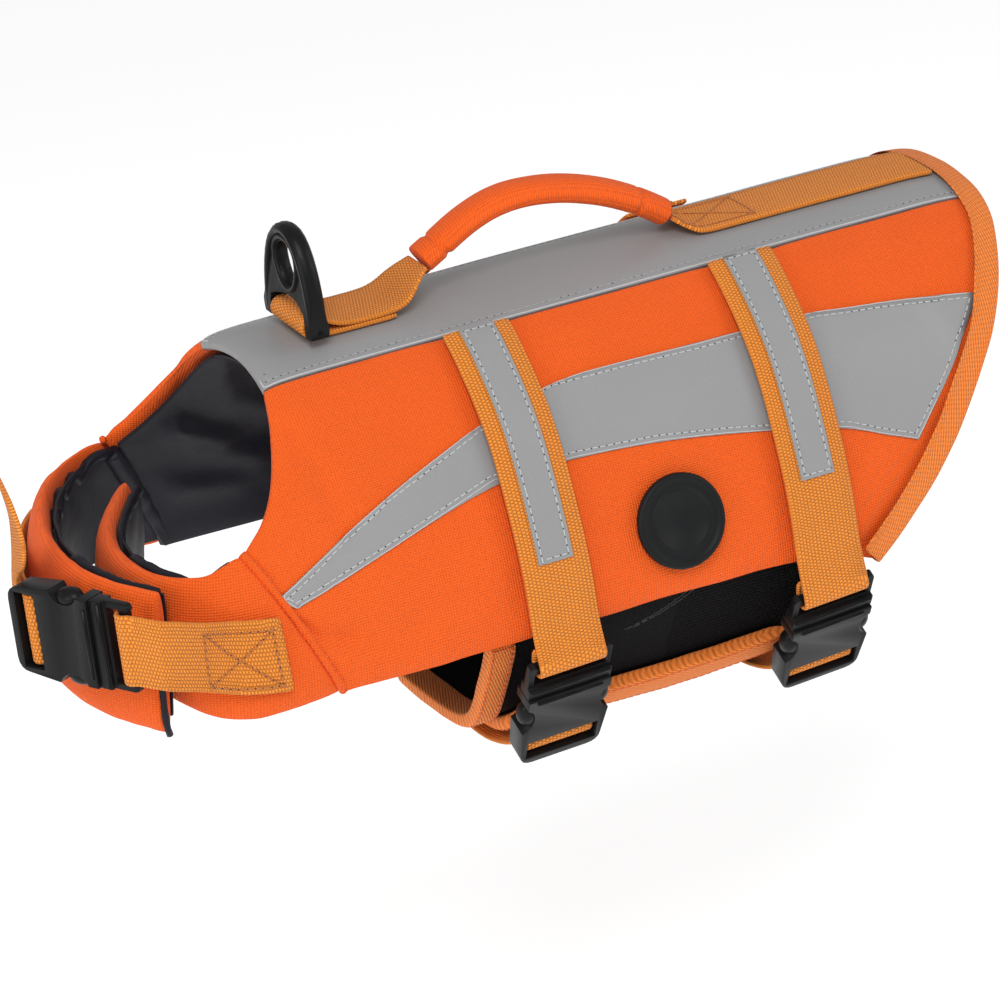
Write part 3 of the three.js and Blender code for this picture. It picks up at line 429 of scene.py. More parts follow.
def apply_modifiers(obj):
    bpy.context.view_layer.update()
    graph = bpy.context.evaluated_depsgraph_get()
    mesh = bpy.data.meshes.new_from_object(obj.evaluated_get(graph))
    obj.modifiers.clear()
    old = obj.data
    obj.data = mesh
    bpy.data.meshes.remove(old)
    mesh.name = obj.name
    return obj


def tape_rings(bm, key, count):
    """Cross-sections of a tape, from the end where key is least. Each has the same count of points."""
    bm.verts.index_update()
    rings = [sorted(bm.verts, key=lambda v: key(v.co))[:count]]
    seen = set(rings[0])
    while True:
        following = {edge.other_vert(v) for v in rings[-1] for edge in v.link_edges} - seen
        if not following:
            return rings
        rings.append(sorted(following, key=lambda v: v.index))
        seen |= following


def tape_sections(bm, key, count):
    """Each cross-section of a tape: its points, middle, direction across and length so far."""
    out = []
    length = 0.0
    for ring in tape_rings(bm, key, count):
        co = np.array([v.co for v in ring])
        middle = co.mean(axis=0)
        across = np.linalg.svd(co - middle)[2][0]
        if out:
            length += np.linalg.norm(middle - out[-1][1])
            if across @ out[-1][2] < 0:
                across = -across
        out.append((ring, middle, across, length))
    return out


def tape_line(node, key, count):
    """The middle of a tape, its direction across and its length so far, at each cross-section."""
    bm = node_mesh(node)
    out = [row[1:] for row in tape_sections(bm, key, count)]
    bm.free()
    return out


def along_tape(key, count):
    """Gives a tape cloth coordinates: across it, and along it from one end."""
    def lay(bm):
        layer = bm.loops.layers.uv.new("cloth")
        place = {}
        for ring, middle, across, length in tape_sections(bm, key, count):
            for vert in ring:
                place[vert] = ((np.array(vert.co) - middle) @ across, length)
        for face in bm.faces:
            for loop in face.loops:
                loop[layer].uv = place[loop.vert]
    return lay


def softened(name, node, material, levels=2, crease=0.8, sharp=50, lay=None):
    """A CAD node's form with a smooth surface. Edges sharper than an angle keep some crease."""
    bm = node_mesh(node)
    if lay:
        lay(bm)
    layer = bm.edges.layers.float.new("crease_edge")
    for edge in bm.edges:
        if edge.calc_face_angle(0) > math.radians(sharp):
            edge[layer] = crease
    obj = new_object(name, bm, material)
    modifier = obj.modifiers.new("smooth", "SUBSURF")
    modifier.levels = levels
    modifier.render_levels = levels
    return apply_modifiers(obj)


def edged(name, node, material, width, segments=2):
    """A moulded CAD node with its edges rounded over."""
    bm = node_mesh(node, quads=False)
    bmesh.ops.dissolve_limit(bm, angle_limit=math.radians(2), verts=bm.verts, edges=bm.edges)
    obj = new_object(name, bm, material)
    modifier = obj.modifiers.new("edges", "BEVEL")
    modifier.width = width
    modifier.segments = segments
    modifier.limit_method = "ANGLE"
    modifier.angle_limit = math.radians(32)
    modifier.harden_normals = True
    return apply_modifiers(obj)


def cage_points(node):
    bm = node_mesh(node, quads=False)
    points = [v.co.copy() for v in bm.verts]
    bm.free()
    return points


def circle(bm, centre, side, out, count):
    """A ring of points round a centre. The two directions also give its half widths."""
    ring = []
    for k in range(count):
        angle = 2 * math.pi * k / count
        ring.append(bm.verts.new(centre + side * math.cos(angle) + out * math.sin(angle)))
    return ring


def skin(bm, rings, ends="flat"):
    """Joins rings of points into a tube whose ends are flat, open or joined to each other."""
    pairs = list(zip(rings, rings[1:]))
    if ends == "joined":
        pairs.append((rings[-1], rings[0]))
    for lower, upper in pairs:
        count = len(lower)
        for k in range(count):
            after = (k + 1) % count
            corners = (lower[k], lower[after], upper[after], upper[k])
            bm.faces.new(tuple(dict.fromkeys(corners)))
    if ends == "flat":
        bm.faces.new(rings[0][::-1])
        bm.faces.new(rings[-1])


def set_uv(obj, uv):
    layer = obj.data.uv_layers.new(name="cloth")
    index = np.empty(len(obj.data.loops), np.int32)
    obj.data.loops.foreach_get("vertex_index", index)
    layer.data.foreach_set("uv", uv[index].astype(np.float32).ravel())


def girth_uv(obj, cut_at_top=False):
    """Cloth coordinates round the body: length along x and arc from the spine."""
    co = points_of(obj)
    angle = np.arctan2(co[:, 1] - GIRTH_CENTRE[0], co[:, 2] - GIRTH_CENTRE[1])
    if cut_at_top:
        angle = np.mod(angle, 2 * math.pi)
    set_uv(obj, np.column_stack([co[:, 0], angle * GIRTH_RADIUS]))


def chest_uv(obj):
    """Cloth coordinates round the chest: arc from the tail side and height."""
    co = points_of(obj)
    angle = np.mod(np.arctan2(co[:, 1] - CHEST_CENTRE[1], co[:, 0] - CHEST_CENTRE[0]), 2 * math.pi)
    set_uv(obj, np.column_stack([angle * CHEST_RADIUS, co[:, 2]]))


def top_uv(obj):
    co = points_of(obj)
    set_uv(obj, co[:, :2])


def surface_of(*objects):
    """A search tree over the meshes of these objects."""
    verts = []
    faces = []
    for obj in objects:
        start = len(verts)
        verts.extend(v.co for v in obj.data.vertices)
        faces.extend([start + i for i in face.vertices] for face in obj.data.polygons)
    return BVHTree.FromPolygons(verts, faces)


def trough(co, line, width, depth):
    """How far a soft trough along a line in x and z sinks each point."""
    flat = co[:, (0, 2)]
    deepest = np.zeros(len(co))
    for a, b in zip(line, line[1:]):
        a = np.array(a) * MM
        b = np.array(b) * MM
        run = b - a
        share = np.clip((flat - a) @ run / (run @ run), 0, 1)
        gap = np.linalg.norm(flat - (a + share[:, None] * run), axis=1)
        deepest = np.maximum(deepest, np.exp(-((gap / (width * MM)) ** 2)))
    return deepest * depth * MM


def slow_noise(co, size, seed):
    """A smooth value from 0 to 1 that changes over a size."""
    offset = Vector((seed * 7.3, seed * 3.1, seed * 5.7))
    return np.array([0.5 + 0.5 * noise.noise(Vector(p) / size + offset) for p in co])


def eased(share):
    """Rises smoothly from 0 to 1 as the share does, and is held there beyond."""
    share = np.clip(share, 0, 1)
    return share * share * (3 - 2 * share)


def sink(obj, depths):
    """Moves each point in along its normal."""
    put_points(obj, points_of(obj) - normals_of(obj) * depths[:, None])


def uneven(obj, depth, size, seed):
    """Sinks a surface by up to a depth, over a size."""
    sink(obj, depth * slow_noise(points_of(obj), size, seed))


def laid_on(obj, surface):
    """Lays a thin sheet on a surface: its lower face just clear of it, its upper face over that."""
    co = points_of(obj)
    normals = normals_of(obj)
    for i, p in enumerate(co):
        spot, normal, _, _ = surface.find_nearest(Vector(p))
        if normal.dot(Vector(p) - spot) < 0:
            normal = -normal
        upper = normal.dot(Vector(normals[i])) > 0
        co[i] = spot + normal * (FOIL_LIFT + FOIL_THICKNESS if upper else FOIL_LIFT)
    put_points(obj, co)


def finished(obj, slot, *nodes, body=BODY):
    """Rides on the jacket or the ring and stands for its CAD nodes. Its slot is not used."""
    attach(obj, body)
    if nodes:
        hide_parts(*nodes)
    return obj


# Sewing

def walk(edges):
    """Orders edges, given as pairs of point numbers, into closed loops."""
    nexts = {}
    for a, b in edges:
        nexts.setdefault(a, []).append(b)
        nexts.setdefault(b, []).append(a)
    loops = []
    left = set(nexts)
    while left:
        start = min(left)
        loop = [start]
        left.discard(start)
        while True:
            following = [n for n in nexts[loop[-1]] if n in left]
            if not following:
                break
            loop.append(following[0])
            left.discard(following[0])
        loops.append(loop)
    return loops


def rim(node, outward, level=0.55):
    """The longest edge loop round a node's outer face, each point with its direction into the face."""
    bm = node_mesh(node)
    bm.normal_update()
    top = {f.index for f in bm.faces if f.normal.dot(outward(f.calc_center_median())) > level}
    edges = [e for e in bm.edges if sum(f.index in top for f in e.link_faces) == 1]
    inward = {}
    for edge in edges:
        face = next(f for f in edge.link_faces if f.index in top)
        middle = (edge.verts[0].co + edge.verts[1].co) / 2
        along = (edge.verts[1].co - edge.verts[0].co).normalized()
        side = face.calc_center_median() - middle
        side = (side - along * side.dot(along)).normalized()
        for vert in edge.verts:
            inward.setdefault(vert.index, []).append(side)
    places = {v.index: v.co.copy() for v in bm.verts}
    loops = walk([(e.verts[0].index, e.verts[1].index) for e in edges])
    bm.free()
    best = max(loops, key=len)
    out = []
    for i in best:
        total = sum(inward[i], Vector())
        out.append((places[i], total / max(MITRE_LIMIT, total.length_squared / len(inward[i]))))
    return out


def inset(loop, distance):
    return [p + side * distance for p, side in loop]


def resampled(line, step, closed_loop):
    """Points along a line at an even step, each with the line's direction there."""
    if closed_loop:
        line = [*line, line[0]]
    out = []
    rest = 0.0
    for a, b in zip(line, line[1:]):
        length = (b - a).length
        if length < 1e-7:
            continue
        along = (b - a) / length
        at = rest
        while at < length:
            out.append((a + along * at, along))
            at += step
        rest = at - length
    return out


# A stitch's cross-sections: place along it and thickness as shares, and how many radii it is sunk
STITCH_PROFILE = [(-0.5, 0.35, 1.2), (-0.36, 1.0, 0), (0.36, 1.0, 0), (0.5, 0.35, 1.2)]
STITCH_FLATNESS = 1.35
HOLE_SUNK = 0.4


def stitch_mesh(name, spots, material, length=STITCH_LENGTH, radius=STITCH_RADIUS):
    """One small tapered stitch at each spot, and after it a dark disc in the needle hole, painted shade.
    """
    bm = bmesh.new()
    for spot, along, normal in spots:
        side = normal.cross(along).normalized()
        rings = []
        for share, size, sunk in STITCH_PROFILE:
            centre = spot + along * (share * length) - normal * (sunk * radius)
            thick = radius * size
            rings.append(circle(bm, centre, side * (STITCH_FLATNESS * thick), normal * thick, 5))
        skin(bm, rings)
        # A dark disc in the needle hole after the stitch: painted shade.
        hole = spot + along * (STITCH_PITCH / 2) - normal * (HOLE_SUNK * radius)
        corners = circle(bm, hole, side * HOLE_RADIUS, along * HOLE_RADIUS, 6)
        bm.faces.new(corners).material_index = 1
    obj = new_object(name, bm, material)
    obj.data.materials.append(HOLE_SHADE_MATERIAL)
    return obj


def sew(name, line, surface, material, slot, closed_loop=False, keep=None, lift=STITCH_LIFT, **sizes):
    """A row of stitches along a line, laid on a surface."""
    spots = []
    for p, along in resampled(line, STITCH_PITCH, closed_loop):
        if keep and not keep(p):
            continue
        spot, normal, _, _ = surface.find_nearest(p)
        if normal.dot(p - spot) < 0 and (p - spot).length > ON_SURFACE:
            normal = -normal
        flat = (along - normal * along.dot(normal)).normalized()
        spots.append((spot + normal * lift, flat, normal))
    return finished(stitch_mesh(name, spots, material, **sizes), slot)


def cut_edge(name, line, surface, radius, keep):
    """The cut edge of reflective cloth, a thin raised line laid on it."""
    runs = [[]]
    for p, _ in resampled(line, EDGE_STEP, True):
        if not keep(p):
            if runs[-1]:
                runs.append([])
            continue
        spot, normal, _, _ = surface.find_nearest(p)
        runs[-1].append((spot, normal))
    bm = bmesh.new()
    for run in runs:
        if len(run) < 3:
            continue
        rings = []
        for i, (spot, normal) in enumerate(run):
            along = (run[min(i + 1, len(run) - 1)][0] - run[max(i - 1, 0)][0]).normalized()
            side = normal.cross(along).normalized()
            rings.append(circle(bm, spot, side * radius, normal * radius, 5))
        skin(bm, rings)
    return finished(new_object(name, bm, PALE), "reflective_cloth")


def roll(name, line, outward, radius, depth, material, slot):
    """A round, slightly uneven length of cloth along a line, set in below it."""
    path = [p for p, _ in resampled(line, ROLL_STEP, False)] + [line[-1]]
    bm = bmesh.new()
    rings = []
    for i, p in enumerate(path):
        along = (path[min(i + 1, len(path) - 1)] - path[max(i - 1, 0)]).normalized()
        out = outward(p)
        out = (out - along * out.dot(along)).normalized()
        side = out.cross(along)
        centre = p - out * depth
        puffed = radius * (1 + 0.25 * noise.noise(p / (6 * MM)))
        rings.append(circle(bm, centre, side * puffed, out * puffed, 8))
    skin(bm, rings)
    bmesh.ops.recalc_face_normals(bm, faces=bm.faces)
    obj = new_object(name, bm, material)
    girth_uv(obj)
    finished(obj, slot)


def rounded(line):
    """Cuts the corners off a line of points."""
    out = [line[0]]
    for a, b in zip(line, line[1:]):
        out += [a * 0.75 + b * 0.25, a * 0.25 + b * 0.75]
    return [*out, line[-1]]


# Outward directions at a place

def from_axis(p):
    """Outward from the body's middle line."""
    return Vector((0, p.y - GIRTH_CENTRE[0], p.z - GIRTH_CENTRE[1])).normalized()


def from_chest(p):
    """Outward from the upright line in the middle of the chest."""
    return Vector((p.x - CHEST_CENTRE[0], p.y - CHEST_CENTRE[1], 0)).normalized()


def upward(p):
    return Vector((0, 0, 1))


def outward_of(co, outward):
    """The outward direction at each point."""
    return np.array([outward(Vector(p)) for p in co])


# Which end of a tape is counted from: the value is least there

def topmost(p):
    return -p.z


def lowest(p):
    return p.z


def rearmost(p):
    return -p.x


def foremost(p):
    return p.x


def farthest(p):
    return -p.y


# Back strip and side panels

# Soft troughs on the panels, as lines in x and z with a width and a depth, in millimetres
SIDE_TROUGHS = [
    ([(-144, -60), (-134, -67), (-124, -71)], 2.6, 1.5),
    ([(-124, -71), (-112, -74), (-100, -73)], 6, 0.8),
    ([(-124, -8), (-119, -24), (-118, -42)], 4, 0.8),
    ([(-135, -82), (-120, -92), (-100, -97)], 6, 0.8),
    ([(-84, -93), (-70, -86), (-62, -70)], 7, 0.7),
    ([(-30, -96), (-10, -92), (12, -97)], 7, 0.9),
    ([(22, -95), (40, -86), (44, -70)], 6, 0.7),
    ([(72, -92), (92, -72), (108, -60)], 8, 1.0),
    ([(118, -20), (126, -38), (128, -52)], 6, 0.9),
    ([(84, -14), (104, -22), (128, -24)], 8, 0.6),
]

# How far the far side's troughs are shifted, and the dent that each strap presses in
FAR_SHIFT = 6 * MM
STRAP_DENT = 0.5 * MM
STRAP_DENT_HALF = 15 * MM


def side_panel(side, seed, shift):
    obj = softened(f"panel_{side}", f"side_{side}", OXFORD, levels=3, crease=0.72)
    co = points_of(obj)
    depths = 0.7 * MM * slow_noise(co, 0.035, seed)
    moved = co + np.array([shift, 0, shift / 2])
    for row in SIDE_TROUGHS:
        depths += trough(moved, *row)
    for x in (FRONT_STRAP_X, REAR_STRAP_X):
        depths += STRAP_DENT * np.exp(-(((co[:, 0] - x) / STRAP_DENT_HALF) ** 4))
    sink(obj, depths)
    girth_uv(obj)
    finished(obj, "oxford_cloth", f"side_{side}")
    return obj


def beside_strip(p):
    """Whether a point is on one of the strip's long sides."""
    return abs(p.y) > 20 * MM and p.x < 147 * MM


def back_strip():
    obj = softened("strip", "back_strip", REFLECTIVE, levels=3, crease=0.72)
    uneven(obj, 0.35 * MM, 0.03, 5)
    top_uv(obj)
    finished(obj, "reflective_cloth", "back_strip")
    surface = surface_of(obj)
    loop = rim("back_strip", upward, 0.8)
    stitches = inset(loop, 3.0 * MM)
    edge = inset(loop, 0.7 * MM)
    sew("strip_stitches", stitches, surface, GREY_THREAD, "reflective_cloth", True, beside_strip)
    cut_edge("strip_edge", edge, surface, 0.3 * MM, beside_strip)
    return obj


PANELS = [side_panel("near", 1, 0), side_panel("far", 2, FAR_SHIFT)]
SHELL = surface_of(*PANELS, back_strip())


# Reflective swooshes

# Where a swoosh starts to be drawn out, and the line in x and z along its slanted rear end
REACH_FROM = 85 * MM
REACH_OVER = 30 * MM
FOIL_END = {"x": 134.5 * MM, "z": -21.7 * MM, "slope": 0.84}


def reached(x):
    """Draws the rear end of a swoosh out to the hem's tape."""
    return x + FOIL_REACH * np.clip((x - REACH_FROM) / REACH_OVER, 0, 1)


def before_end(p):
    """Whether a point lies well ahead of the swoosh's rear end."""
    return p.x < FOIL_END["x"] + FOIL_END["slope"] * (p.z - FOIL_END["z"]) - 3 * MM


def swoosh(side):
    node = f"swoosh_{side}"
    obj = softened(f"foil_{side}", node, REFLECTIVE, crease=1.0)
    co = points_of(obj)
    co[:, 0] = reached(co[:, 0])
    put_points(obj, co)
    laid_on(obj, SHELL)
    girth_uv(obj)
    finished(obj, "reflective_cloth", node)
    surface = surface_of(obj)
    loop = rim(node, from_axis)
    for p, _ in loop:
        p.x = reached(p.x)
    stitches = inset(loop, 1.9 * MM)
    edge = inset(loop, 0.3 * MM)
    sew(f"foil_stitches_{side}", stitches, surface, PALE, "reflective_cloth", True, before_end)
    cut_edge(f"foil_edge_{side}", edge, surface, 0.22 * MM, before_end)


for side in ("near", "far"):
    swoosh(side)


# Rear binding

def hem_start(p):
    """Least at the lower end on the near side."""
    return 0.57 * p.x + 0.82 * p.z + (p.y > 0)


def rear_binding():
    lay = along_tape(hem_start, 9)
    obj = softened("hem_tape", "rear_binding", TWILL, crease=0.35, lay=lay)
    co = points_of(obj)
    wave = 0.45 * MM * slow_noise(co, 0.012, 9) + 0.3 * MM * slow_noise(co, 0.03, 4)
    sink(obj, wave)
    finished(obj, "binding_tape", "rear_binding")
    surface = surface_of(obj)
    line = inset(rim("rear_binding", from_axis), 1.6 * MM)

    def on_tape(p):
        return surface.find_nearest(p)[3] < 3 * MM

    sew("hem_stitches", line, surface, ORANGE_THREAD, "binding_tape", True, on_tape)


rear_binding()


# Lining

# Folds of the lining, given like the panels' troughs
LINING_TROUGHS = [
    ([(-140, -20), (-128, -36), (-110, -48)], 4, 2.448),
    ([(-135, -30), (-120, -50), (-96, -60)], 5, 2.142),
    ([(-150, -48), (-132, -64), (-104, -72)], 5, 2.295),
    ([(-118, -12), (-108, -30), (-90, -40)], 6, 1.836),
    ([(-40, -20), (-20, -44), (-8, -70)], 7, 1.836),
    ([(30, -16), (52, -40), (56, -74)], 7, 1.989),
    ([(90, -10), (108, -30), (116, -50)], 6, 1.836),
]


def from_edge(co, node, distance):
    """0 at a piece's edge, rising to 1 at a distance from it."""
    edge = [p for p, _ in resampled(inset(rim(node, from_axis), 0), EDGE_STEP, True)]
    tree = KDTree(len(edge))
    for i, p in enumerate(edge):
        tree.insert(p, i)
    tree.balance()
    return eased(np.array([tree.find(p)[2] for p in co]) / distance)


def lining_piece(part):
    node = f"lining_{part}"
    obj = softened(f"inside_{part}", node, LINING, levels=3)
    co = points_of(obj)
    co[:, 2] -= LINING_REACH * eased((LINING_LOW - co[:, 2]) / LINING_OVER)
    depths = 1.44 * MM * slow_noise(co, 0.022, 11)
    for row in LINING_TROUGHS:
        depths += trough(co, *row)
    depths *= from_edge(co, node, LINING_HELD)
    put_points(obj, co - outward_of(co, from_axis) * depths[:, None])
    girth_uv(obj)
    finished(obj, "lining_cloth", node)


lining_piece("back")
lining_piece("near")
lining_piece("far")


# Chest flaps

def pucker(co, size, seed):
    """Short uneven gathers, from 0 to 1."""
    return slow_noise(co, size, seed) * slow_noise(co, size * 2.6, seed + 3)


def chest_flap(side):
    node = f"chest_flap_{side}"
    obj = softened(f"flap_{side}", node, FLAP_OXFORD, levels=3, crease=0.2, sharp=60)
    co = points_of(obj)
    low, high = co[:, 2].min(), co[:, 2].max()
    edge = np.clip(np.abs((co[:, 2] - low) / (high - low) - 0.5) * 2, 0, 1) ** 3
    sink(obj, 0.5 * MM * slow_noise(co, 0.02, 21) + 1.3 * MM * edge * pucker(co, 0.007, 31))
    chest_uv(obj)
    finished(obj, "oxford_cloth", node)


def chest_lining(side):
    node = f"chest_lining_{side}"
    obj = softened(f"flap_inside_{side}", node, LINING, levels=3)
    co = points_of(obj)
    lift = 3.2 * MM * pucker(co, 0.012, 41)
    put_points(obj, co - outward_of(co, from_chest) * lift[:, None])
    chest_uv(obj)
    finished(obj, "lining_cloth", node)


def chest_seam(side):
    """Rolls of cloth in the seam between a side panel and its chest flap, outside and inside."""
    panel = node_mesh(f"side_{side}", quads=False)
    tree = BVHTree.FromBMesh(panel)
    panel.free()
    line = [p for p in cage_points(f"chest_flap_{side}") if tree.find_nearest(p)[3] < SEAM_REACH]
    line.sort(key=lowest)
    pairs = [sorted(line[i:i + 2], key=lambda p: abs(p.y)) for i in range(0, len(line) - 1, 2)]
    outer = [pair[1] for pair in pairs]
    inner = [pair[0] for pair in pairs[1:-1]]
    sunk = 0.6 * SEAM_INSIDE
    roll(f"seam_{side}", outer, from_axis, SEAM_ROLL, SEAM_SUNK, OXFORD, "oxford_cloth")
    roll(f"seam_inside_{side}", inner, from_axis, SEAM_INSIDE, sunk, LINING, "lining_cloth")


def chest_angle(p):
    """The angle round the chest, from the tail side."""
    return math.atan2(p.y - CHEST_CENTRE[1], p.x - CHEST_CENTRE[0]) % (2 * math.pi)


# Angles that hold the points of one cross-section of a lining, and of the end face of a flap
STATION_ANGLE = 0.1
END_ANGLE = 0.03


def lining_edge(side):
    """The lining's rolled top edge, which stands a little above the flap."""
    points = sorted(cage_points(f"chest_lining_{side}"), key=chest_angle)
    line = []
    while points:
        group = [p for p in points if chest_angle(p) < chest_angle(points[0]) + STATION_ANGLE]
        points = points[len(group):]
        top = max(p.z for p in group)
        upper = [p for p in group if p.z > top - 2 * MM]
        line.append(sum(upper, Vector()) / len(upper))
    line = rounded(rounded(line))
    roll(f"lining_edge_{side}", line, from_chest, 1.9 * MM, 0.4 * MM, LINING, "lining_cloth")


def flap_end():
    """The lining's dark edge, which shows along the loose end of the far flap."""
    points = [p for p in cage_points("chest_flap_far") if p.y < FLAP_END_Y]
    end = max(chest_angle(p) for p in points)
    points = sorted((p for p in points if chest_angle(p) > end - END_ANGLE), key=lowest)
    line = [points[0], *[p for a, p in zip(points, points[1:]) if p.z - a.z > 1 * MM]]
    roll("flap_edge", line, from_chest, 1.2 * MM, 0.6 * MM, LINING, "lining_cloth")


for side in ("near", "far"):
    chest_flap(side)
for side in ("near", "far"):
    chest_seam(side)
    lining_edge(side)
flap_end()
chest_lining("near")
chest_lining("far")


# Belly flaps

def belly_flap(side):
    node = f"belly_{side}"
    obj = softened(f"belly_flap_{side}", node, BELLY_CLOTH)
    uneven(obj, 0.5 * MM, 0.025, 51)
    girth_uv(obj, cut_at_top=True)
    finished(obj, "belly_cloth", node)
    return obj


NEAR_BELLY = belly_flap("near")
belly_flap("far")

# The seam between the two halves of the near belly flap, as x and z in millimetres, and a place beside it
BELLY_SEAM = [(12, -86), (10.5, -94), (7, -101), (1, -108), (-7, -114), (-15, -118)]
BESIDE_BELLY = -90


def belly_seam():
    """Two rows of stitches beside each other."""
    surface = surface_of(NEAR_BELLY)
    for row, shift in (("front", -1.6), ("rear", 1.6)):
        beside = [Vector((x + shift, BESIDE_BELLY, z)) * MM for x, z in BELLY_SEAM]
        line = [surface.find_nearest(p)[0] for p in beside]
        sew(f"belly_seam_{row}", line, surface, BELLY_THREAD, "belly_cloth")


belly_seam()


def far_front_top(p):
    """Least at the top of the front edge."""
    return (p.x > 0) - p.z


# Where each belly tape starts, and the count of points in its cross-section
BELLY_TAPES = {"front": (topmost, 9), "rear": (topmost, 9), "far": (far_front_top, 13)}


def belly_tape(part):
    node = f"belly_binding_{part}"
    lay = along_tape(*BELLY_TAPES[part])
    obj = softened(f"belly_tape_{part}", node, TWILL, crease=0.35, lay=lay)
    uneven(obj, 0.35 * MM, 0.01, 61)
    finished(obj, "binding_tape", node)
    surface = surface_of(obj)
    line = inset(rim(node, from_axis), 1.5 * MM)
    sew(f"belly_tape_stitches_{part}", line, surface, ORANGE_THREAD, "binding_tape", True)


for part in BELLY_TAPES:
    belly_tape(part)


# Straps and their tapes

def webbing(name, node, start, count, held, *rests_on):
    """A length of webbing; its length along the middle is measured."""
    obj = softened(name, node, WEBBING, crease=0.7, lay=along_tape(start, count))
    finished(obj, "webbing", node)
    length = float(tape_line(node, start, count)[-1][2])
    return obj


STRAPS = [("front", "near"), ("front", "far"), ("rear", "near"), ("rear", "far")]


def strap(place, side):
    end = f"{place}_{side}"
    under = (f"panel_{side}", f"belly_flap_{side}")
    return webbing(f"belt_{end}", f"strap_{end}", topmost, 4, "stretched", *under)


BELTS = {(place, side): strap(place, side) for place, side in STRAPS}


def strap_tape(place, side):
    node = f"strap_tape_{place}_{side}"
    obj = softened(f"stripe_{place}_{side}", node, REFLECTIVE, crease=1.0)
    laid_on(obj, surface_of(BELTS[place, side]))
    girth_uv(obj)
    finished(obj, "reflective_cloth", node)
    surface = surface_of(obj)
    loop = rim(node, from_axis)
    line = inset(loop, 1.5 * MM)
    sew(f"stripe_stitches_{place}_{side}", line, surface, PALE, "reflective_cloth", True)


for place, side in STRAPS:
    strap_tape(place, side)


# Chest webbing

NEAR_CHEST = webbing("chest_belt_near", "chest_webbing_near", rearmost, 4, "stretched", "flap_near")
webbing("chest_belt_far", "chest_webbing_far", farthest, 4, "stretched", "flap_far")
webbing("chest_belt_tail", "chest_webbing_tail", lowest, 4, "hung", "clip_chest_socket")


# Spine webbing and handle

webbing("spine_belt_front", "spine_webbing_front", rearmost, 6, "stretched", "strip")
REAR_SPINE = webbing("spine_belt_rear", "spine_webbing_rear", rearmost, 6, "stretched", "strip")

# Places in x and z, in metres, where the grip's cover is sewn round, and its direction there
GRIP_CREASES = [((-0.0462, 0.0254), (0.76, 0.65)), ((0.0300, 0.0224), (0.88, -0.47))]
GRIP_CREASE = 0.8 * MM


def grip():
    obj = softened("grip_cover", "handle_grip", OXFORD, levels=3, crease=0.5, sharp=60)
    co = points_of(obj)
    depths = 0.2 * MM * slow_noise(co, 0.012, 71)
    for place, along in GRIP_CREASES:
        away = (co[:, (0, 2)] - np.array(place)) @ np.array(along)
        depths += GRIP_CREASE * np.exp(-((away / GRIP_CREASE) ** 2))
    sink(obj, depths)
    top_uv(obj)
    finished(obj, "oxford_cloth", "handle_grip")


grip()


# Boxes of stitches with a cross

def tape_spot(rows, across, along):
    """The place on a tape's middle plane at distances across and along it."""
    lengths = [length for _, _, length in rows]
    middle = [np.interp(along, lengths, [row[0][k] for row in rows]) for k in range(3)]
    wide = [np.interp(along, lengths, [row[1][k] for row in rows]) for k in range(3)]
    return Vector(middle) + Vector(wide) * across


# Half of a box's width, how many parts a stroke is cut into, and the height from which it is laid down
BOX_HALF = 9.5 * MM
STROKE_PARTS = 8
STROKE_HEIGHT = 3 * MM


def stitched_box(name, tape, rows, outward, start, end):
    """A box of stitches with a cross in it, between two lengths along a tape."""
    surface = surface_of(tape)
    corners = [(-BOX_HALF, start), (BOX_HALF, start), (BOX_HALF, end), (-BOX_HALF, end)]
    sides = list(zip(corners, corners[1:] + corners[:1]))
    cross = [(corners[0], corners[2]), (corners[1], corners[3])]
    for i, (a, b) in enumerate(sides + cross):
        line = []
        for step in range(STROKE_PARTS + 1):
            share = step / STROKE_PARTS
            spot = tape_spot(rows, a[0] + (b[0] - a[0]) * share, a[1] + (b[1] - a[1]) * share)
            line.append(spot + outward(spot) * STROKE_HEIGHT)
        sew(f"{name}_{i}", line, surface, AMBER_THREAD, "webbing", lift=0.2 * MM, radius=0.26 * MM)


SPINE_ROWS = tape_line("spine_webbing_rear", foremost, 6)
CHEST_ROWS = tape_line("chest_webbing_near", rearmost, 4)
stitched_box("spine_cross", REAR_SPINE, SPINE_ROWS, upward, 5 * MM, 32 * MM)
stitched_box("chest_cross", NEAR_CHEST, CHEST_ROWS, from_chest, 3 * MM, 28 * MM)


# Hard parts

def bezier(a, b, c, d, count):
    """Points of a curve from a to d that b and c pull."""
    out = []
    for i in range(count + 1):
        t = i / count
        weights = ((1 - t) ** 3, 3 * t * (1 - t) ** 2, 3 * t * t * (1 - t), t ** 3)
        out.append(tuple(sum(w * p[k] for w, p in zip(weights, (a, b, c, d))) for k in range(2)))
    return out


def mirrored(points):
    """A curve through points given as y and z for the right half, followed by the left half."""
    return points + [(-y, z) for y, z in points[-2::-1]]


# Middle lines of the ring's raised edges, as y and z from its pivot in millimetres
RIM_CURVE = bezier((16.7, 2), (16.2, 13), (12.3, 31.6), (0, 31.6), 10)
EYE_LOWER = bezier((0, 10.2), (5.4, 10.2), (8.9, 17.4), (8.5, 22), 8)
EYE_UPPER = bezier((8.5, 22), (8.2, 26.2), (4.6, 28.9), (0, 28.9), 8)
RIM_LINE = mirrored([(16.8, -0.6), *RIM_CURVE])
EYE_LINE = mirrored(EYE_LOWER + EYE_UPPER[1:])


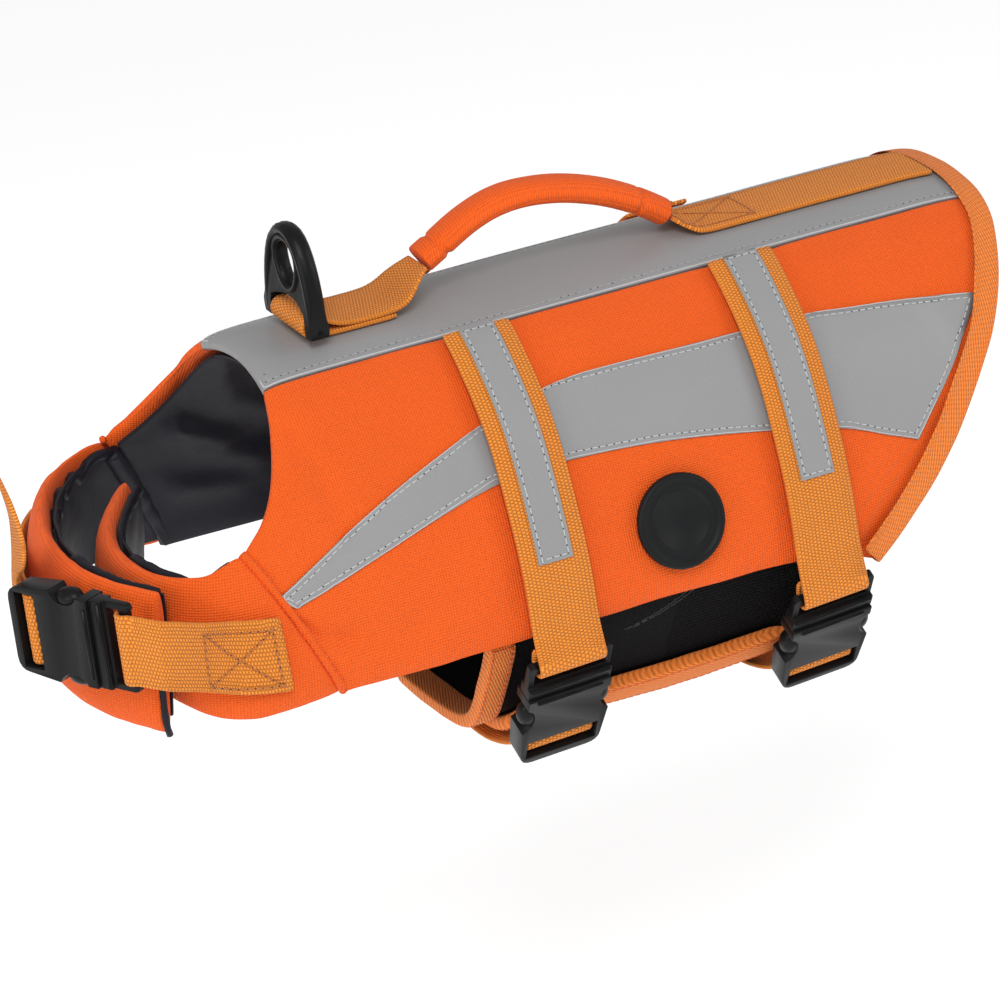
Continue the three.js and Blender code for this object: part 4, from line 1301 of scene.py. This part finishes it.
def ring_rim(name, line, wide, thick, closed_loop):
    """A rounded raised edge on the ring: half widths in the ring's plane and through it."""
    bm = bmesh.new()
    through = Vector((1, 0, 0))
    points = [Vector(RING_PIVOT) + Vector((0, y, z)) * MM for y, z in line]
    if closed_loop:
        points = points[:-1]
    count = len(points)
    rings = []
    for i, p in enumerate(points):
        before = points[i - 1] if closed_loop or i else p
        after = points[(i + 1) % count] if closed_loop or i + 1 < count else p
        side = through.cross((after - before).normalized())
        rings.append(circle(bm, p, side * wide * MM, through * thick * MM, 10))
    skin(bm, rings, "joined" if closed_loop else "flat")
    bmesh.ops.recalc_face_normals(bm, faces=bm.faces)
    obj = new_object(name, bm, BLACK_PLASTIC)
    finished(obj, "black_plastic", body="d_ring")


# Height above the pivot where the ring's plate grows thinner, over what length, and by what share
WEB_FROM = 5 * MM
WEB_OVER = 3 * MM
WEB_THINNED = 0.45


def ring():
    """The D-ring's plate, thinner between its rounded edges."""
    obj = edged("ring", "d_ring", BLACK_PLASTIC, 0.9 * MM, 3)
    co = points_of(obj)
    web = np.clip((co[:, 2] - RING_PIVOT[2] - WEB_FROM) / WEB_OVER, 0, 1)
    co[:, 0] = RING_PIVOT[0] + (co[:, 0] - RING_PIVOT[0]) * (1 - WEB_THINNED * web)
    put_points(obj, co)
    ring_rim("ring_rim", RIM_LINE, 2.1, 3.4, False)
    ring_rim("ring_eye", EYE_LINE, 1.5, 2.9, True)
    finished(obj, "black_plastic", "d_ring", body="d_ring")


ring()

# Details of a buckle in millimetres: its prongs' buttons by place and radii, its ridges by two corners
BUTTON_PLACES = [(25.3, -13.7, 4.9), (25.3, 13.7, 4.9)]
BUTTON_RADII = (5.4, 3.6, 3.9)
RIDGES = [((10.5, -15.2, 7.2), (11.8, 15.2, 8.7)), ((16.2, -12.5, 8.4), (17.4, 12.5, 9.7))]


def buckle_matrix(origin, end, outward):
    """From a buckle's own millimetres, along, across and up, to the frame."""
    along = (Vector(end) - Vector(origin)).normalized()
    out = Vector(outward)
    out = (out - along * out.dot(along)).normalized()
    turn = Matrix((along, out.cross(along), out)).transposed().to_4x4()
    return Matrix.Translation(origin) @ turn @ Matrix.Scale(MM, 4)


def buckle_details(place):
    """The prongs' buttons in the side notches, and ridges across the plug and the socket."""
    matrix = buckle_matrix(*BUCKLES[place])
    bm = bmesh.new()
    for spot in BUTTON_PLACES:
        shape = Matrix.Translation(spot) @ Matrix.Diagonal((*BUTTON_RADII, 1))
        bmesh.ops.create_uvsphere(bm, u_segments=20, v_segments=12, radius=1, matrix=matrix @ shape)
    for low, high in RIDGES:
        size = Vector(high) - Vector(low)
        shape = Matrix.Translation((Vector(low) + Vector(high)) / 2) @ Matrix.Diagonal((*size, 1))
        made = bmesh.ops.create_cube(bm, size=1, matrix=matrix @ shape)
        edges = list(dict.fromkeys(e for v in made["verts"] for e in v.link_edges))
        bmesh.ops.bevel(bm, geom=edges, offset=0.35 * MM, segments=2, affect="EDGES")
    finished(new_object(f"clip_{place}_details", bm, BLACK_PLASTIC), "black_plastic")


for place in ("chest", "front", "rear"):
    buckle_details(place)
    for half in ("plug", "socket"):
        node = f"buckle_{place}_{half}"
        finished(edged(f"clip_{place}_{half}", node, BLACK_PLASTIC, 0.7 * MM), "black_plastic", node)


# The badge's profile as radii and heights in millimetres, and the height of its flat face
BADGE_PROFILE = [
    (0, 1.6), (9.8, 1.6), (10.0, 1.85), (10.6, 1.85), (10.8, 1.6), (13.3, 1.6), (13.8, 1.8),
    (14.2, 2.3), (14.8, 2.5), (15.6, 2.4), (16.2, 2.0), (16.5, 1.3), (16.5, 0.2), (0, 0.2),
]
BADGE_FACE = 1.6
BADGE_SIDES = 72


def badge():
    """A moulded disc with a rounded rim and a plain raised ring."""
    mount = next(m for m in frame["record"]["mounts"] if m["name"] == "badge_face")
    axis = Vector(mount["axis"]).normalized()
    turn = Vector((0, 0, 1)).rotation_difference(axis).to_matrix().to_4x4()
    seat = Matrix.Translation(Vector(mount["pos_m"]) - axis * BADGE_FACE * MM) @ turn
    across, aside = (turn.col[k].to_3d() * MM for k in (0, 1))
    bm = bmesh.new()
    rings = []
    for radius, up in BADGE_PROFILE:
        centre = seat @ Vector((0, 0, up * MM))
        if radius == 0:
            rings.append([bm.verts.new(centre)] * BADGE_SIDES)
        else:
            rings.append(circle(bm, centre, across * radius, aside * radius, BADGE_SIDES))
    skin(bm, rings, "open")
    bmesh.ops.recalc_face_normals(bm, faces=bm.faces)
    finished(new_object("badge_disc", bm, BLACK_RUBBER), "black_rubber", "badge")


badge()


# Floor, lights and camera

FLOOR_DROP = 0.2
FLOOR_HALF = 4.0


def floor():
    bm = bmesh.new()
    place = Matrix.Translation((0, 0, CAD_BOX[0][2] - FLOOR_DROP))
    bmesh.ops.create_grid(bm, x_segments=1, y_segments=1, size=FLOOR_HALF, matrix=place)
    shader = Shader("pale_floor", (0.9, 0.9, 0.9), 0.9)
    shader.set(Emission_Color=(1, 1, 1, 1), Emission_Strength=0.4, Specular_IOR_Level=0.1)
    new_object("floor", bm, shader.material)


LIT_POINT = (0, 0, -0.05)


def area_light(name, place, size, power):
    """A round soft light that faces the jacket."""
    data = bpy.data.lights.new(name, "AREA")
    data.shape = "DISK"
    data.size = size
    data.energy = power
    obj = placed(name, data)
    obj.location = place
    obj.rotation_euler = (Vector(LIT_POINT) - Vector(place)).to_track_quat("-Z", "Y").to_euler()


def lights():
    area_light("key", (-0.5, -0.9, 1.1), 0.8, 13)
    area_light("side", (1.2, -0.7, 0.5), 0.8, 5)
    area_light("front", (-1.3, -0.4, 0.3), 0.7, 4.5)
    world = bpy.data.worlds.new("studio")
    world.use_nodes = True
    inputs = world.node_tree.nodes["Background"].inputs
    inputs["Color"].default_value = (1, 1, 1, 1)
    inputs["Strength"].default_value = 0.5
    bpy.context.scene.world = world


# The view: its directions to the right and up, the point in its middle, and the distance and lens
VIEW_RIGHT = (0.8826, -0.4636, -0.0792)
VIEW_UP = (0.2581, 0.3368, 0.9055)
VIEW_POINT = (-0.03843, -0.01537, -0.06646)
VIEW_DISTANCE = 1.6
LENS_MM = 167.04
SENSOR_MM = 36


def camera():
    right = Vector(VIEW_RIGHT).normalized()
    up = Vector(VIEW_UP)
    up = (up - right * up.dot(right)).normalized()
    back = right.cross(up)
    data = bpy.data.cameras.new("camera")
    data.lens = LENS_MM
    data.sensor_width = SENSOR_MM
    obj = placed("camera", data)
    turn = Matrix((right, up, back)).transposed().to_4x4()
    obj.matrix_world = Matrix.Translation(Vector(VIEW_POINT) + back * VIEW_DISTANCE) @ turn
    bpy.context.scene.camera = obj


floor()
lights()
camera()
bpy.context.scene.view_settings.view_transform = "Standard"
